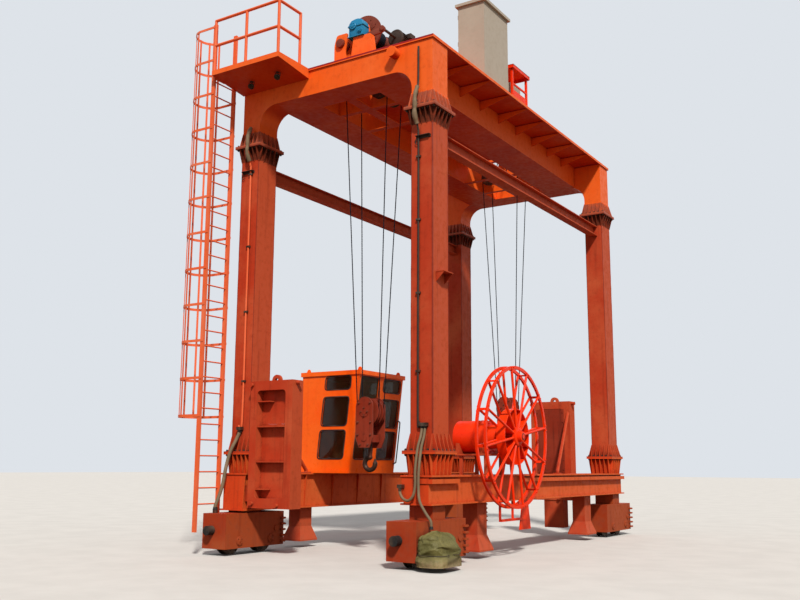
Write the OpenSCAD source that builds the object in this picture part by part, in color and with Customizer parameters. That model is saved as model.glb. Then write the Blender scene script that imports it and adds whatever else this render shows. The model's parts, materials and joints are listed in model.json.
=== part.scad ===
// Rail-mounted gantry crane with two fixed hoists on its deck.
// X runs across the rails, Y along them and Z up. Measures are in millimetres.
// The crane's own centre is midway between the legs, and the rail top is z = 0.

/* [Gantry] */
// Distance between leg centres across the rails
gauge = 4120; // [3900:10:4600]
// Distance between leg centres along the rails
leg_base = 8580; // [8300:10:9200]
// Width of a leg across the rails
leg_w = 445; // [400:5:500]
// Depth of a leg along the rails
leg_d = 550; // [480:5:620]
// Height of the bolted joint at the foot of a leg
foot_z = 1890; // [1840:5:2000]
// Height of the bolted joint at the head of a leg
splice_z = 8110; // [7950:10:8200]
// Height of the deck's top face
deck_z = 9480; // [9300:10:9700]
// Thickness of the bolted flange plates
flange_t = 30; // [20:1:45]
// How far the flange plates stand out from the leg
flange_over = 108; // [70:1:130]
// Height of the triangular stiffeners above and below a joint
gusset_h = 290; // [200:5:340]
// Thickness of the stiffener plates
gusset_t = 16; // [8:1:25]
// Number of stiffeners on each face of a leg
gusset_n = 5; // [3:1:6]

/* [Sills] */
// Height of the top face of both sills
sill_top = 1505; // [1450:5:1560]
// Depth of the sill on the cab side
sill_left_h = 700; // [600:5:730]
// Depth of the sill on the reel side
sill_right_h = 495; // [450:5:560]
// Width over the sill's flanges
sill_w = 620; // [600:5:700]
// Length of both sills
sill_len = 9500; // [9300:10:9900]
// Thickness of the sill's flanges
sill_flange_t = 28; // [16:1:40]
// How far the sill's flanges stand out from its webs
sill_lip = 70; // [40:1:110]
// Number of tapered stiffeners along a sill's inner face
sill_ribs = 11; // [7:1:15]
// Height of the bar along the reel side's sill
sill_bar_h = 75; // [50:5:90]

/* [Top frame] */
// Depth of the portal beams and girders under the deck's top face
beam_h = 560; // [480:5:620]
// Radius of the haunches where the portal beams meet the legs
haunch_r = 400; // [250:5:450]
// Thickness of the deck plate
deck_t = 16; // [10:1:30]
// Depth of the rim around the deck
deck_rim_h = 55; // [40:1:80]
// How far the deck stands out beyond the legs
deck_over = 30; // [10:1:60]
// Distance from the centre line to a girder's inner face
girder_in = 720; // [700:5:800]
// Width of a girder
girder_w = 850; // [700:5:950]
// Number of tapered ribs under each side of the deck
deck_ribs = 8; // [4:1:11]
// Depth of these ribs at the girder
deck_rib_h = 240; // [150:5:300]
// Distance of the portal's boss from the crane's middle
boss_x = 1485; // [1300:5:1600]
// Length of the floor plate under each hoist
hoist_floor_len = 1850; // [1800:5:2000]
// Height of a tie beam's section
tie_h = 250; // [180:5:280]
// Width of a tie beam's section
tie_w = 200; // [150:5:240]
// Distance from the tie beams up to the stiffeners of the leg joint
tie_gap = 10; // [5:1:200]

/* [Hoists] */
// Distance from the middle of the crane to each hoist
hoist_y = 3220; // [3150:5:3300]
// Distance from the centre line to each hoist
hoist_x = 80; // [0:5:100]
// Half the distance between the rope falls at deck level, across
fall_x = 510; // [480:5:560]
// Half the distance between the rope falls at deck level, along
fall_y = 275; // [240:5:300]
// Pitch radius of the block's sheaves
sheave_r = 250; // [200:5:260]
// Half the distance between the block's two sheaves
sheave_y = 85; // [75:1:100]
// Diameter of the hoist rope
rope_d = 24; // [16:1:30]
// Height of the sheave axle in the front block
block_front_z = 2690; // [2500:5:2900]
// Height of the sheave axle in the rear block
block_rear_z = 3120; // [2900:5:3300]
// Width of the block's cheeks
cheek_w = 400; // [350:5:450]
// Thickness of the block's cheeks
cheek_t = 24; // [15:1:35]
// Radius of the drum's barrel
drum_r = 200; // [160:5:230]
// Radius of the drum's flanges
drum_flange_r = 395; // [330:5:400]
// Length of the drum between its flanges
drum_len = 1150; // [1000:5:1250]
// Height of the drum's axis above the deck
drum_up = 860; // [820:5:900]

/* [Cable reel] */
// Radius of the reel wheel
reel_r = 1320; // [1200:5:1340]
// Distance between the two rims of the reel
reel_gap = 180; // [140:5:200]
// Height of the reel's axis
reel_z = 2210; // [2150:5:2300]
// Distance of the reel's axis from the middle of the crane
reel_y = 2350; // [2300:5:2450]
// Distance of the reel's middle plane from the sill's outer edge
reel_out = 350; // [320:5:450]
// Number of spokes on each side of the reel
reel_spokes = 12; // [6:1:14]
// Diameter of a spoke's tube
spoke_d = 48; // [35:1:60]
// Width of each rim, measured towards the hub
reel_rim = 60; // [40:1:80]
// Outer radius of the ring round the reel's core
reel_core_r = 520; // [400:5:600]
// Radius of the reel's drive housing
reel_drive_r = 310; // [250:5:315]

/* [Access] */
// Length of the access platform across the crane
platform_len = 1730; // [1500:5:1900]
// Distance the access platform stands out from the portal beam
platform_out = 960; // [850:5:1050]
// Height of the handrail
rail_h = 1080; // [950:5:1150]
// Diameter of the handrail's tubes
rail_d = 60; // [42:1:70]
// Width of the ladder between its stringers' centres
ladder_w = 590; // [450:5:600]
// Distance between rungs
rung_pitch = 300; // [250:5:330]
// Diameter of a rung
rung_d = 28; // [20:1:34]
// Gap between the ladder's stringers and the platform
ladder_gap = 45; // [30:5:60]
// Distance the safety cage stands out from the ladder
cage_depth = 725; // [650:5:800]
// Distance between the cage's hoops
hoop_pitch = 720; // [600:5:950]
// Length of the cabinet on the deck, along the rails
cabinet_len = 1100; // [900:10:1200]
// Height of the cabinet on the deck
cabinet_h = 1700; // [1500:10:1900]

/* [Cab] */
// Width of the cab across the rails, at its roof
cab_w = 1500; // [1400:5:1600]
// Length of the cab along the rails
cab_len = 1670; // [1500:5:1750]
// Height of the cab
cab_h = 2110; // [1950:5:2250]
// How far the cab's front leans in at the floor
cab_lean = 250; // [150:5:300]
// Thickness of the cab's walls
cab_wall = 50; // [30:1:70]
// Thickness of the cab's glass
glass_t = 8; // [5:1:12]
// Width of the rubber seal round a window
seal_w = 22; // [12:1:30]

/* [Upright frames] */
// Width of the upright frames beside the sills
frame_w = 1030; // [900:10:1100]
// Depth of the upright frames
frame_d = 320; // [280:5:400]
// Width of a frame's posts
post_w = 165; // [120:5:200]
// Height of the frames' heads over the rails
frame_top = 3250; // [3000:10:3400]

/* [Running gear] */
// Length of a bogie
bogie_len = 1660; // [1500:5:1700]
// Height of a bogie's side plates
bogie_h = 640; // [560:5:660]
// Height of the bogie plates above the rail
bogie_z = 125; // [80:5:135]
// Width over a bogie's side plates
bogie_w = 580; // [520:5:600]
// Thickness of the bogie's plates
bogie_t = 25; // [16:1:32]
// Radius of a travel wheel over its flanges
wheel_r = 260; // [230:5:280]
// Width of a travel wheel
wheel_w = 150; // [120:5:180]
// Distance between a bogie's two axles
wheel_base = 900; // [800:5:950]
// Radius of an end buffer
buffer_r = 85; // [60:1:100]
// Length of an end buffer
buffer_len = 150; // [100:5:200]
// Width of the cover over the travel drive
cover_w = 565; // [450:5:570]

/* [Hidden] */
$fn = 48;

leg_x = gauge / 2;
leg_y = leg_base / 2;
leg_face = leg_y + leg_d / 2;
beam_z = deck_z - beam_h;
deck_half_x = leg_x + leg_w / 2 + deck_over;
deck_half_y = leg_face + deck_over;
girder_out = girder_in + girder_w;
girder_half = leg_y - leg_d / 2;
deck_under = deck_z - deck_t;
rim_under = deck_z - deck_rim_h;

// Gap between pieces that seat on each other
seat = 0.3;
// How far a cutting shape runs past the face that it cuts
past = 10;
// How far the stiffeners stay inside the edge of the plate that they carry
edge = 10;

platform_x0 = -deck_half_x;
platform_x1 = platform_x0 + platform_len;
platform_y0 = -leg_face - platform_out;
stringer = [80, 50];
ladder_x = platform_x0 - stringer[0] / 2 - ladder_gap;
ladder_y0 = platform_y0 + 130 + stringer[1] / 2;
cage_bottom = 2560;

sill_side = sill_w / 2;
reel_x = leg_x + sill_side + reel_out;
reel_cap = 130;

// The outermost faces, which set the crane's place over the origin
bogie_y = leg_y + 80;
x_low = ladder_x - cage_depth;
x_high = reel_x + reel_gap / 2 + reel_cap;
y_low = platform_y0;
y_high = bogie_y + bogie_len / 2 + buffer_len;
centre = [(x_low + x_high) / 2, (y_low + y_high) / 2];

red_oxide = "#af3e28";
orange = "#e16928";
salmon = "#e67048";
cab_orange = "#fa6414";
bright_red = "#ff3c00";
steel_grey = "#55504a";
rope_black = "#1c1c24";

module place() translate([-centre[0], -centre[1], 0]) children();
module box(low, high) translate(low) cube(high - low);
module plate_z(x, y, z0, z1) box([-x / 2, -y / 2, z0], [x / 2, y / 2, z1]);

// A flat plate in the plane x = 0, its outline given in Y and Z
module plate_x(outline, t)
    rotate([90, 0, 90]) translate([0, 0, -t / 2]) linear_extrude(t) polygon(outline);
// A flat plate in the plane y = 0, its outline given in X and Z
module plate_y(outline, t)
    rotate([90, 0, 0]) translate([0, 0, -t / 2]) linear_extrude(t) polygon(outline);
module rod_x(r, x0, x1) translate([x0, 0, 0]) rotate([0, 90, 0]) cylinder(r = r, h = x1 - x0);
module rod_y(r, y0, y1) translate([0, y0, 0]) rotate([-90, 0, 0]) cylinder(r = r, h = y1 - y0);
// A round bar between two points
module bar(a, b, r) {
    d = b - a;
    len = norm(d);
    translate(a) rotate([0, acos(d[2] / len), atan2(d[1], d[0])]) cylinder(r = r, h = len);
}
module both_sides() for (side = [0, 1]) mirror([side, 0, 0]) children();

function rectangle(x0, z0, x1, z1) = [[x0, z0], [x1, z0], [x1, z1], [x0, z1]];
// Rounds an outline's corners: each curve starts and ends at a distance t from its corner
function rounded(p, t, n = 5) = [for (i = [0 : len(p) - 1])
    let(c = p[i], a = p[(i + len(p) - 1) % len(p)], b = p[(i + 1) % len(p)],
        u = (a - c) / norm(a - c), v = (b - c) / norm(b - c))
    for (k = [0 : n]) let(s = k / n) c + t * ((1 - s) * (1 - s) * u + s * s * v)];

// Stiffeners all round a leg: they stand out base_out at z = 0 and top_out at z = h
module stiffener_ring(base_out, top_out, h) {
    for (side = [0, 1], i = [0 : gusset_n - 1]) {
        share = i / (gusset_n - 1) - 0.5;
        mirror([0, side, 0]) translate([share * (leg_w - gusset_t), 0, 0])
            plate_x([[0, 0], [leg_d / 2 + base_out, 0], [leg_d / 2 + top_out, h], [0, h]], gusset_t);
        mirror([side, 0, 0]) translate([0, share * (leg_d - gusset_t), 0])
            plate_y([[0, 0], [leg_w / 2 + base_out, 0], [leg_w / 2 + top_out, h], [0, h]], gusset_t);
    }
}
gusset_foot = flange_over - edge;
gusset_tip = 12;
module flange(z0) plate_z(leg_w + 2 * flange_over, leg_d + 2 * flange_over, z0, z0 + flange_t);

// A leg with its two flanges and their stiffeners
module leg(x, y) translate([x, y, 0]) {
    plate_z(leg_w, leg_d, foot_z, splice_z);
    flange(foot_z);
    flange(splice_z - flange_t);
    translate([0, 0, foot_z + flange_t]) stiffener_ring(gusset_foot, gusset_tip, gusset_h);
    translate([0, 0, splice_z - flange_t - gusset_h])
        stiffener_ring(gusset_tip, gusset_foot, gusset_h);
}
module leg_front_left() color(red_oxide) place() leg(-leg_x, -leg_y);
module leg_rear_left() color(red_oxide) place() leg(-leg_x, leg_y);
module leg_rear_right() color(red_oxide) place() leg(leg_x, leg_y);
// The leg beside the reel has a small shelf on its outer face
shelf = [170, 330, 190];
shelf_z = 5050;
shelf_t = 14;
module leg_front_right() color(red_oxide) place() {
    leg(leg_x, -leg_y);
    translate([leg_x, -leg_y, shelf_z]) {
        box([0, -shelf[1] / 2, -shelf_t], [leg_w / 2 + shelf[0], shelf[1] / 2, 0]);
        for (y = [-shelf[1] / 2 + shelf_t, shelf[1] / 2 - shelf_t]) translate([0, y, 0])
            plate_y([[0, -shelf[2]], [leg_w / 2, -shelf[2]], [leg_w / 2 + shelf[0], -shelf_t],
                [leg_w / 2 + shelf[0], 0], [0, 0]], shelf_t);
    }
}

// The ribbed seat that carries a leg on a sill
seat_rib_top = 45;
module leg_seat(x, y) translate([x, y, 0]) {
    plate_z(leg_w, leg_d, sill_top, foot_z);
    flange(foot_z - flange_t);
    translate([0, 0, sill_top])
        stiffener_ring(seat_rib_top, gusset_foot, foot_z - flange_t - sill_top);
}
sill_half = sill_len / 2;
sill_end_in = 20;
web_side = sill_side - sill_lip;
module sill(x, h) translate([x, 0, 0]) {
    z0 = sill_top - h;
    inner_half = sill_half - sill_end_in;
    plate_z(2 * web_side, 2 * inner_half, z0, sill_top);
    plate_z(sill_w, sill_len, z0, z0 + sill_flange_t);
    plate_z(sill_w, sill_len, sill_top - sill_flange_t, sill_top);
    for (i = [0 : sill_ribs - 1])
        translate([0, (i / (sill_ribs - 1) - 0.5) * (2 * inner_half - gusset_t), 0])
            mirror([x > 0 ? 1 : 0, 0, 0]) plate_y([[0, z0], [web_side + edge, z0],
                [sill_side - edge, sill_top - sill_flange_t], [0, sill_top - sill_flange_t]], gusset_t);
}
// Stretches of the bar along the outer face of the reel side's sill
sill_bars = [[-sill_half, -leg_y + 490], [-leg_y + 3090, sill_half]];
module sill_left() color(red_oxide) place() {
    sill(-leg_x, sill_left_h);
    for (y = [-leg_y, leg_y]) leg_seat(-leg_x, y);
}
module sill_right() color(red_oxide) place() {
    sill(leg_x, sill_right_h);
    for (y = [-leg_y, leg_y]) leg_seat(leg_x, y);
    bar_z = sill_top - sill_flange_t - 35;
    for (span = sill_bars)
        box([leg_x, span[0], bar_z - sill_bar_h], [leg_x + sill_side + 15, span[1], bar_z]);
}

// A portal: two leg heads and the beam between them, with rounded haunches
module portal(y) translate([0, y, 0]) {
    clear = leg_x - leg_w / 2;
    both_sides() {
        translate([leg_x, 0, 0]) {
            plate_z(leg_w, leg_d, splice_z, deck_under);
            flange(splice_z);
            translate([0, 0, splice_z + flange_t]) stiffener_ring(gusset_foot, gusset_tip, gusset_h);
        }
        difference() {
            box([clear - haunch_r, -leg_d / 2, beam_z - haunch_r], [clear, leg_d / 2, beam_z]);
            translate([clear - haunch_r, 0, beam_z - haunch_r]) rod_y(haunch_r, -leg_d, leg_d);
        }
    }
    box([-clear, -leg_d / 2, beam_z], [clear, leg_d / 2, deck_under]);
}
boss_r = 100;
boss_out = 180;
module portal_front() color(orange) place() {
    portal(-leg_y);
    translate([boss_x, -leg_face, deck_z - 200]) rod_y(boss_r, -boss_out, leg_d / 2);
}
module portal_rear() color(orange) place() portal(leg_y);

module girders() color(orange) place() both_sides()
    box([girder_in, -girder_half, beam_z], [girder_out, girder_half, deck_under]);

// The wells under the hoists, open through the deck
well_in = 15;
well_end = 90;
well_len = 1620;
function well_y(end) = end * (girder_half - well_end - well_len / 2);
module wells(z0, z1, inner)
    for (end = [-1, 1]) both_sides()
        box([inner, well_y(end) - well_len / 2, z0], [girder_in - well_in, well_y(end) + well_len / 2, z1]);
module deck() color(orange) place() difference() {
    union() {
        plate_z(2 * deck_half_x, 2 * deck_half_y, deck_under, deck_z);
        difference() {
            plate_z(2 * deck_half_x, 2 * deck_half_y, rim_under, deck_z);
            plate_z(2 * (deck_half_x - deck_over), 2 * (deck_half_y - deck_over),
                rim_under - past, deck_under);
        }
        // Tapered ribs from the girders out to the rim
        both_sides() for (i = [1 : deck_ribs])
            translate([0, (2 * i / (deck_ribs + 1) - 1) * girder_half, 0])
                plate_y([[girder_out, deck_z - deck_rib_h], [deck_half_x - deck_over, rim_under],
                    [deck_half_x - deck_over, deck_z - deck_t / 2], [girder_out, deck_z - deck_t / 2]],
                    gusset_t);
    }
    wells(deck_under - past, deck_z + past, 0);
}

// Floor plates with a pair of rope slots, and the cross-bar that carries the upper sheaves
floor_t = 15;
floor_strip = 110;
upper_r = 190;
upper_z = beam_z + 310;
upper_axle_r = 45;
cross_bar_y = [-120, 0];
module hoist_floors() color(orange) place() {
    difference() {
        for (end = [0, 1]) mirror([0, end, 0])
            box([-girder_in, -girder_half, beam_z],
                [girder_in, hoist_floor_len - girder_half, beam_z + floor_t]);
        wells(beam_z - past, beam_z + floor_t + past, floor_strip);
    }
    for (rear = [false, true]) at_hoist(rear) difference() {
        box([-girder_in - hoist_x, cross_bar_y[0], beam_z],
            [girder_in - hoist_x, cross_bar_y[1], upper_z + 130]);
        translate([fall_x - upper_r, 0, upper_z]) rod_y(upper_axle_r + seat, -fall_y, past);
    }
}

// I-section beams that tie the legs together along the rails
tie_web = 14;
tie_flange = 18;
tie_z1 = splice_z - flange_t - gusset_h - tie_gap;
tie_z0 = tie_z1 - tie_h;
module tie_beams() color(red_oxide) place() both_sides() translate([leg_x, 0, 0]) {
    plate_z(tie_w, 2 * girder_half, tie_z0, tie_z0 + tie_flange);
    plate_z(tie_w, 2 * girder_half, tie_z1 - tie_flange, tie_z1);
    plate_z(tie_web, 2 * girder_half, tie_z0, tie_z1);
}

// The platform hangs from the front portal and is deeper where it joins it
platform_t = 100;
platform_root = 210;
module access_platform() color(orange) place()
    translate([(platform_x0 + platform_x1) / 2, 0, 0])
        plate_x([[platform_y0, deck_z], [platform_y0, deck_z - platform_t],
            [-leg_face, deck_z - platform_root], [-leg_face, rim_under],
            [-deck_half_y, rim_under], [-deck_half_y, deck_z]], platform_len);

rail_in = rail_d / 2 + 5;
rail_gate = 240;
module platform_railing() color(salmon) place() {
    r = rail_d / 2;
    ya = platform_y0 + rail_in;
    yb = -deck_half_y - rail_gate;
    xa = platform_x0 + rail_in;
    xb = platform_x1 - rail_in;
    for (p = [[xa, ya], [(xa + xb) / 2, ya], [xb, ya], [xb, yb]])
        translate([p[0], p[1], deck_z]) cylinder(r = r, h = rail_h);
    for (z = [deck_z + rail_h / 2, deck_z + rail_h]) {
        translate([0, ya, z]) rod_x(r, xa, xb);
        translate([xb, 0, z]) rod_y(r, ya, yb);
    }
    for (p = [[xa, ya], [xb, ya], [xb, yb]]) translate([p[0], p[1], deck_z + rail_h])
        sphere(r = r);
}

ladder_z0 = 420;
ladder_top = deck_z + rail_h;
first_rung = 150;
bracket_t = 30;
module ladder() color(salmon) place() translate([ladder_x, ladder_y0, 0]) {
    for (y = [0, ladder_w]) translate([0, y, 0])
        plate_z(stringer[0], stringer[1], ladder_z0, ladder_top);
    rungs = floor((deck_z - ladder_z0 - first_rung) / rung_pitch);
    for (i = [0 : rungs - 1]) translate([0, 0, deck_z - first_rung - i * rung_pitch])
        rod_y(rung_d / 2, 0, ladder_w);
    for (z = [deck_z - platform_t, deck_z - 2 * bracket_t])
        box([0, -stringer[1] / 2, z], [platform_x0 - ladder_x, ladder_w / 2, z + bracket_t]);
}
hoop_t = 10;
hoop_w = 50;
strap_w = 40;
module ladder_cage() color(salmon) place() translate([ladder_x - stringer[0] / 2, ladder_y0, 0]) {
    r = (ladder_w + stringer[1]) / 2 + hoop_t;
    straight = cage_depth - stringer[0] / 2 - r;
    hoops = floor((ladder_top - cage_bottom) / hoop_pitch) + 1;
    translate([-straight, ladder_w / 2, cage_bottom]) {
        for (i = [0 : hoops - 1]) translate([0, 0, i * hoop_pitch]) {
            rotate([0, 0, 90]) rotate_extrude(angle = 180)
                translate([r - hoop_t, 0]) square([hoop_t, hoop_w]);
            for (side = [0, 1]) mirror([0, side, 0])
                box([0, r - hoop_t, 0], [straight + stringer[0], r, hoop_w]);
        }
        for (a = [-75, -37, 0, 37, 75]) rotate([0, 0, 180 + a])
            box([r - 2 * hoop_t, -strap_w / 2, 0],
                [r - hoop_t + 2, strap_w / 2, (hoops - 1) * hoop_pitch + hoop_w]);
    }
}

cabinet_w = 610;
cabinet_at = [leg_x - 460, -leg_y + 1950, deck_z];
cabinet_over = 50;
cabinet_roof_t = 60;
module cabinet() color("#afa08c") place() translate(cabinet_at)
    cube([cabinet_w, cabinet_len, cabinet_h]);
module cabinet_roof() color("#b8aa97") place() translate(cabinet_at)
    box([-cabinet_over, -cabinet_over, cabinet_h],
        [cabinet_w + cabinet_over, cabinet_len + cabinet_over, cabinet_h + cabinet_roof_t]);

// Cab: its side outline in X and Z leans in towards the floor at the front
cab_x0 = -leg_x - 40;
cab_y0 = -leg_y + 1670;
cab_y1 = cab_y0 + cab_len;
cab_z1 = sill_top + cab_h;
cab_roof_t = 90;
cab_ceiling = cab_z1 - cab_roof_t;
cab_slope = atan(cab_lean / cab_h);
cab_reveal = 15;
function cab_front(z) = cab_x0 + cab_w - cab_lean * (cab_z1 - z) / cab_h;
module cab_body(inset)
    translate([0, (cab_y0 + cab_y1) / 2, 0]) plate_y([
        [cab_x0 + inset, sill_top + inset], [cab_front(sill_top) - inset, sill_top + inset],
        [cab_front(cab_ceiling) - inset, cab_ceiling], [cab_x0 + inset, cab_ceiling]],
        cab_len - 2 * inset);
// Rows of windows: lower and upper edge over the cab's floor
short_rows = [[300, 870], [980, 1560], [1730, 1990]];
tall_rows = [[300, 1080], [1240, 1990]];
side_cols = [850, 210];
front_cols = [[90, 740], [930, 1580]];
corner = 70;
// Calls its children for each side window, seen in X and Z, grown by a margin
module side_windows(grow, t) for (row = short_rows) {
    z0 = sill_top + row[0];
    z1 = sill_top + row[1];
    plate_y(rounded([
        [cab_front(z0) - side_cols[0] - grow, z0 - grow], [cab_front(z0) - side_cols[1] + grow, z0 - grow],
        [cab_front(z1) - side_cols[1] + grow, z1 + grow], [cab_front(z1) - side_cols[0] - grow, z1 + grow]],
        corner + grow), t);
}
// Front windows in the plane of the leaning front, which is x = 0 there
module on_front() translate([cab_front(sill_top), cab_y0, sill_top]) rotate([0, cab_slope, 0]) children();
module front_windows(grow, t) {
    for (row = tall_rows) plate_x(rounded(rectangle(front_cols[0][0] - grow, row[0] - grow,
        front_cols[0][1] + grow, row[1] + grow), corner + grow), t);
    for (row = short_rows) plate_x(rounded(rectangle(front_cols[1][0] - grow, row[0] - grow,
        front_cols[1][1] + grow, row[1] + grow), corner + grow), t);
}
module cab_shell() color(cab_orange) place() {
    difference() {
        cab_body(0);
        cab_body(cab_wall);
        translate([0, (cab_y0 + cab_y1) / 2, 0]) side_windows(0, cab_len + 2 * past);
        on_front() front_windows(0, 4 * cab_wall);
    }
    // Sill strip under the windows
    translate([0, cab_y0, sill_top])
        box([cab_x0, -20, 0], [cab_front(sill_top), 0, 60]);
}
roof_over = 30;
module cab_roof() color(cab_orange) place()
    box([cab_x0 - roof_over, cab_y0 - roof_over, cab_ceiling],
        [cab_front(cab_z1) + roof_over, cab_y1 + roof_over, cab_z1]);
glass_back = cab_reveal + glass_t / 2;
module cab_glass() color("#303828") place() {
    for (y = [cab_y0 + glass_back, cab_y1 - glass_back])
        translate([0, y, 0]) side_windows(0, glass_t);
    on_front() translate([-glass_back, 0, 0]) front_windows(0, glass_t);
}
module window_seals() color("#1c1c1e") place() {
    seal_t = 8;
    for (y = [cab_y0 - seal_t / 2, cab_y1 + seal_t / 2]) translate([0, y, 0]) difference() {
        side_windows(seal_w, seal_t);
        side_windows(0, 2 * seal_t);
    }
    on_front() translate([seal_t / 2 + seat, 0, 0]) difference() {
        front_windows(seal_w, seal_t);
        front_windows(0, 2 * seal_t);
    }
}

// Bogies: side plates, end plates, a top plate, a pivot block and a stack of short ribs
bogie_ribs = 5;
bogie_rib = [95, 70, 14];
bogie_rib_pitch = 110;
pivot = [460, 420];
module bogie(x, y, sill_z) translate([x, y, 0]) {
    z1 = bogie_z + bogie_h;
    difference() {
        plate_z(bogie_w, bogie_len, bogie_z, z1);
        plate_z(bogie_w - 2 * bogie_t, bogie_len - 2 * bogie_t, bogie_z - past, z1 - bogie_t);
    }
    plate_z(pivot[0], pivot[1], z1 - bogie_t, sill_z);
    for (i = [0 : bogie_ribs - 1])
        translate([bogie_w / 2 - bogie_t, bogie_len / 2, bogie_z + 60 + i * bogie_rib_pitch])
            linear_extrude(bogie_rib[2]) polygon([[0, 0], [0, -bogie_rib[0] - 20],
                [bogie_t, -bogie_rib[0] - 20], [bogie_t + bogie_rib[1], -20], [bogie_t + bogie_rib[1], 0]]);
    translate([bogie_w / 2, bogie_len / 2 - 230, bogie_z + bogie_h / 2]) rod_x(60, -bogie_t, 20);
}
module bogie_pair(x, h) for (y = [-bogie_y, bogie_y]) bogie(x, y, sill_top - h);
module bogies_left() color(red_oxide) place() bogie_pair(-leg_x, sill_left_h);
module bogies_right() color(red_oxide) place() bogie_pair(leg_x, sill_right_h);

wheel_flange = 20;
flange_w = 25;
axle_r = 55;
module travel_wheel() {
    rod_x(wheel_r - wheel_flange, -wheel_w / 2, wheel_w / 2);
    both_sides() rod_x(wheel_r, wheel_w / 2 - flange_w, wheel_w / 2);
    rod_x(axle_r, -bogie_w / 2 + bogie_t, bogie_w / 2 - bogie_t);
}
module wheels() color(steel_grey) place()
    for (x = [-leg_x, leg_x], y = [-bogie_y, bogie_y], step = [-wheel_base / 2, wheel_base / 2])
        translate([x, y + step, wheel_r]) travel_wheel();
buffer_at = [-60, 460];
module buffers() color("#1c1c1e") place()
    for (x = [-leg_x, leg_x], end = [0, 1]) mirror([0, end, 0])
        translate([x + buffer_at[0], bogie_y + bogie_len / 2, buffer_at[1]])
            rod_y(buffer_r, 0, buffer_len);

// Posts under the sills with flared feet, which hold the crane down when it is parked
anchor_y = leg_y - 1640;
anchor_w = 300;
anchor_d = 380;
anchor_flare = 90;
anchor_z = [130, 160, 420];
module anchor(x, y, sill_z) translate([x, y, 0]) {
    plate_z(anchor_w, anchor_d, anchor_z[0], sill_z);
    intersection() {
        plate_y([[-anchor_w / 2 - anchor_flare, anchor_z[0]], [anchor_w / 2 + anchor_flare, anchor_z[0]],
            [anchor_w / 2 + anchor_flare, anchor_z[1]], [anchor_w / 2, anchor_z[2]],
            [-anchor_w / 2, anchor_z[2]], [-anchor_w / 2 - anchor_flare, anchor_z[1]]], 2 * anchor_d);
        plate_x([[-anchor_d / 2 - anchor_flare, anchor_z[0]], [anchor_d / 2 + anchor_flare, anchor_z[0]],
            [anchor_d / 2 + anchor_flare, anchor_z[1]], [anchor_d / 2, anchor_z[2]],
            [-anchor_d / 2, anchor_z[2]], [-anchor_d / 2 - anchor_flare, anchor_z[1]]], 2 * anchor_w);
    }
}
module rail_anchors() color(red_oxide) place() for (y = [-anchor_y, anchor_y]) {
    anchor(-leg_x, y, sill_top - sill_left_h);
    anchor(leg_x, y, sill_top - sill_right_h);
}

// Upright frames beside the sills: posts, a set-back web, shelves and a head with its pins
frame_foot = 860;
web_back = 170;
frame_plate = 20;
head_h = 180;
frame_open = 640;
web_top = frame_top - head_h - frame_open;
shelf_from_top = [880, 1540];
small_shelves = [[400, 300], [2050, 260]];
pin_r = 40;
lug_r = 105;
module upright_frame() {
    for (x = [0, frame_w - post_w]) box([x, 0, frame_foot], [x + post_w, frame_d, frame_top]);
    box([0, 0, frame_top - head_h], [frame_w, frame_d, frame_top]);
    box([0, 0, frame_foot], [frame_w, frame_d, frame_foot + head_h]);
    box([0, web_back, frame_foot], [frame_w, web_back + frame_plate, web_top]);
    // Face plate with rounded corners round the opening between the posts
    translate([0, frame_plate / 2, 0]) difference() {
        plate_y(rectangle(0, frame_foot, frame_w, frame_top), frame_plate);
        plate_y(rounded(rectangle(post_w, frame_foot + head_h, frame_w - post_w, frame_top - head_h), 90),
            2 * frame_plate);
    }
    for (down = shelf_from_top)
        box([0, frame_plate, frame_top - down], [frame_w, web_back, frame_top - down + frame_plate]);
    for (s = small_shelves) box([0, frame_plate, frame_top - s[0]],
        [post_w + s[1], web_back, frame_top - s[0] + frame_plate]);
    // Head lug, its pin and the pins at the left
    translate([frame_w - 2.4 * post_w, 0, frame_top]) difference() {
        rod_y(lug_r, 0, 60);
        rod_y(pin_r, -past, 60 + past);
    }
    translate([0, 130, frame_top - 50]) rod_x(pin_r, frame_w / 2, frame_w + 90);
    for (p = [[0.25 * post_w, frame_top - 70], [0.7 * post_w, frame_foot + 90],
        [0.7 * frame_w, frame_foot + 60]])
        translate([p[0], 0, p[1]]) rod_y(pin_r, -60, frame_plate);
}
// A round strut from the top of a frame to a foot plate on the sill
strut_r = 38;
module brace(top, foot) {
    knee = foot + [0, 0, 60];
    translate(foot) plate_z(140, 160, 0, 20);
    bar(foot, knee, strut_r);
    translate(knee) sphere(r = strut_r);
    bar(knee, top, strut_r);
}
frame_gap = 35;
frame_left_x = -leg_x + sill_side + frame_gap;
frame_right_x = leg_x - sill_side - 150 - frame_w;
frame_left_y = -leg_y - 410;
frame_right_y = leg_y - 1090;
lug_h = [120, 420];
strut_down = 150;
module upright_frame_left() color(red_oxide) place() {
    translate([frame_left_x, frame_left_y, 0]) upright_frame();
    // Lugs that hold the frame to the sill's web
    for (y = [40, frame_d - 80])
        box([-leg_x + web_side, frame_left_y + y, frame_foot + lug_h[0]],
            [frame_left_x + post_w, frame_left_y + y + 40, frame_foot + lug_h[1]]);
    brace([frame_left_x + post_w / 2, frame_left_y + frame_d / 2, frame_top - strut_down],
        [-leg_x + 210, cab_y0 - 140, sill_top]);
}
module upright_frame_right() color(red_oxide) place() {
    translate([frame_right_x, frame_right_y, 0]) {
        upright_frame();
        // Column under the frame
        box([300, 20, 210], [800, frame_d - 20, frame_foot]);
        box([frame_w - post_w, 100, sill_top - 380],
            [leg_x - web_side - frame_right_x, frame_d - 100, sill_top - 60]);
    }
    brace([frame_right_x + frame_w - post_w / 2, frame_right_y + frame_d / 2, frame_top - strut_down],
        [leg_x - 220, frame_right_y - 1400, sill_top]);
}

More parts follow.
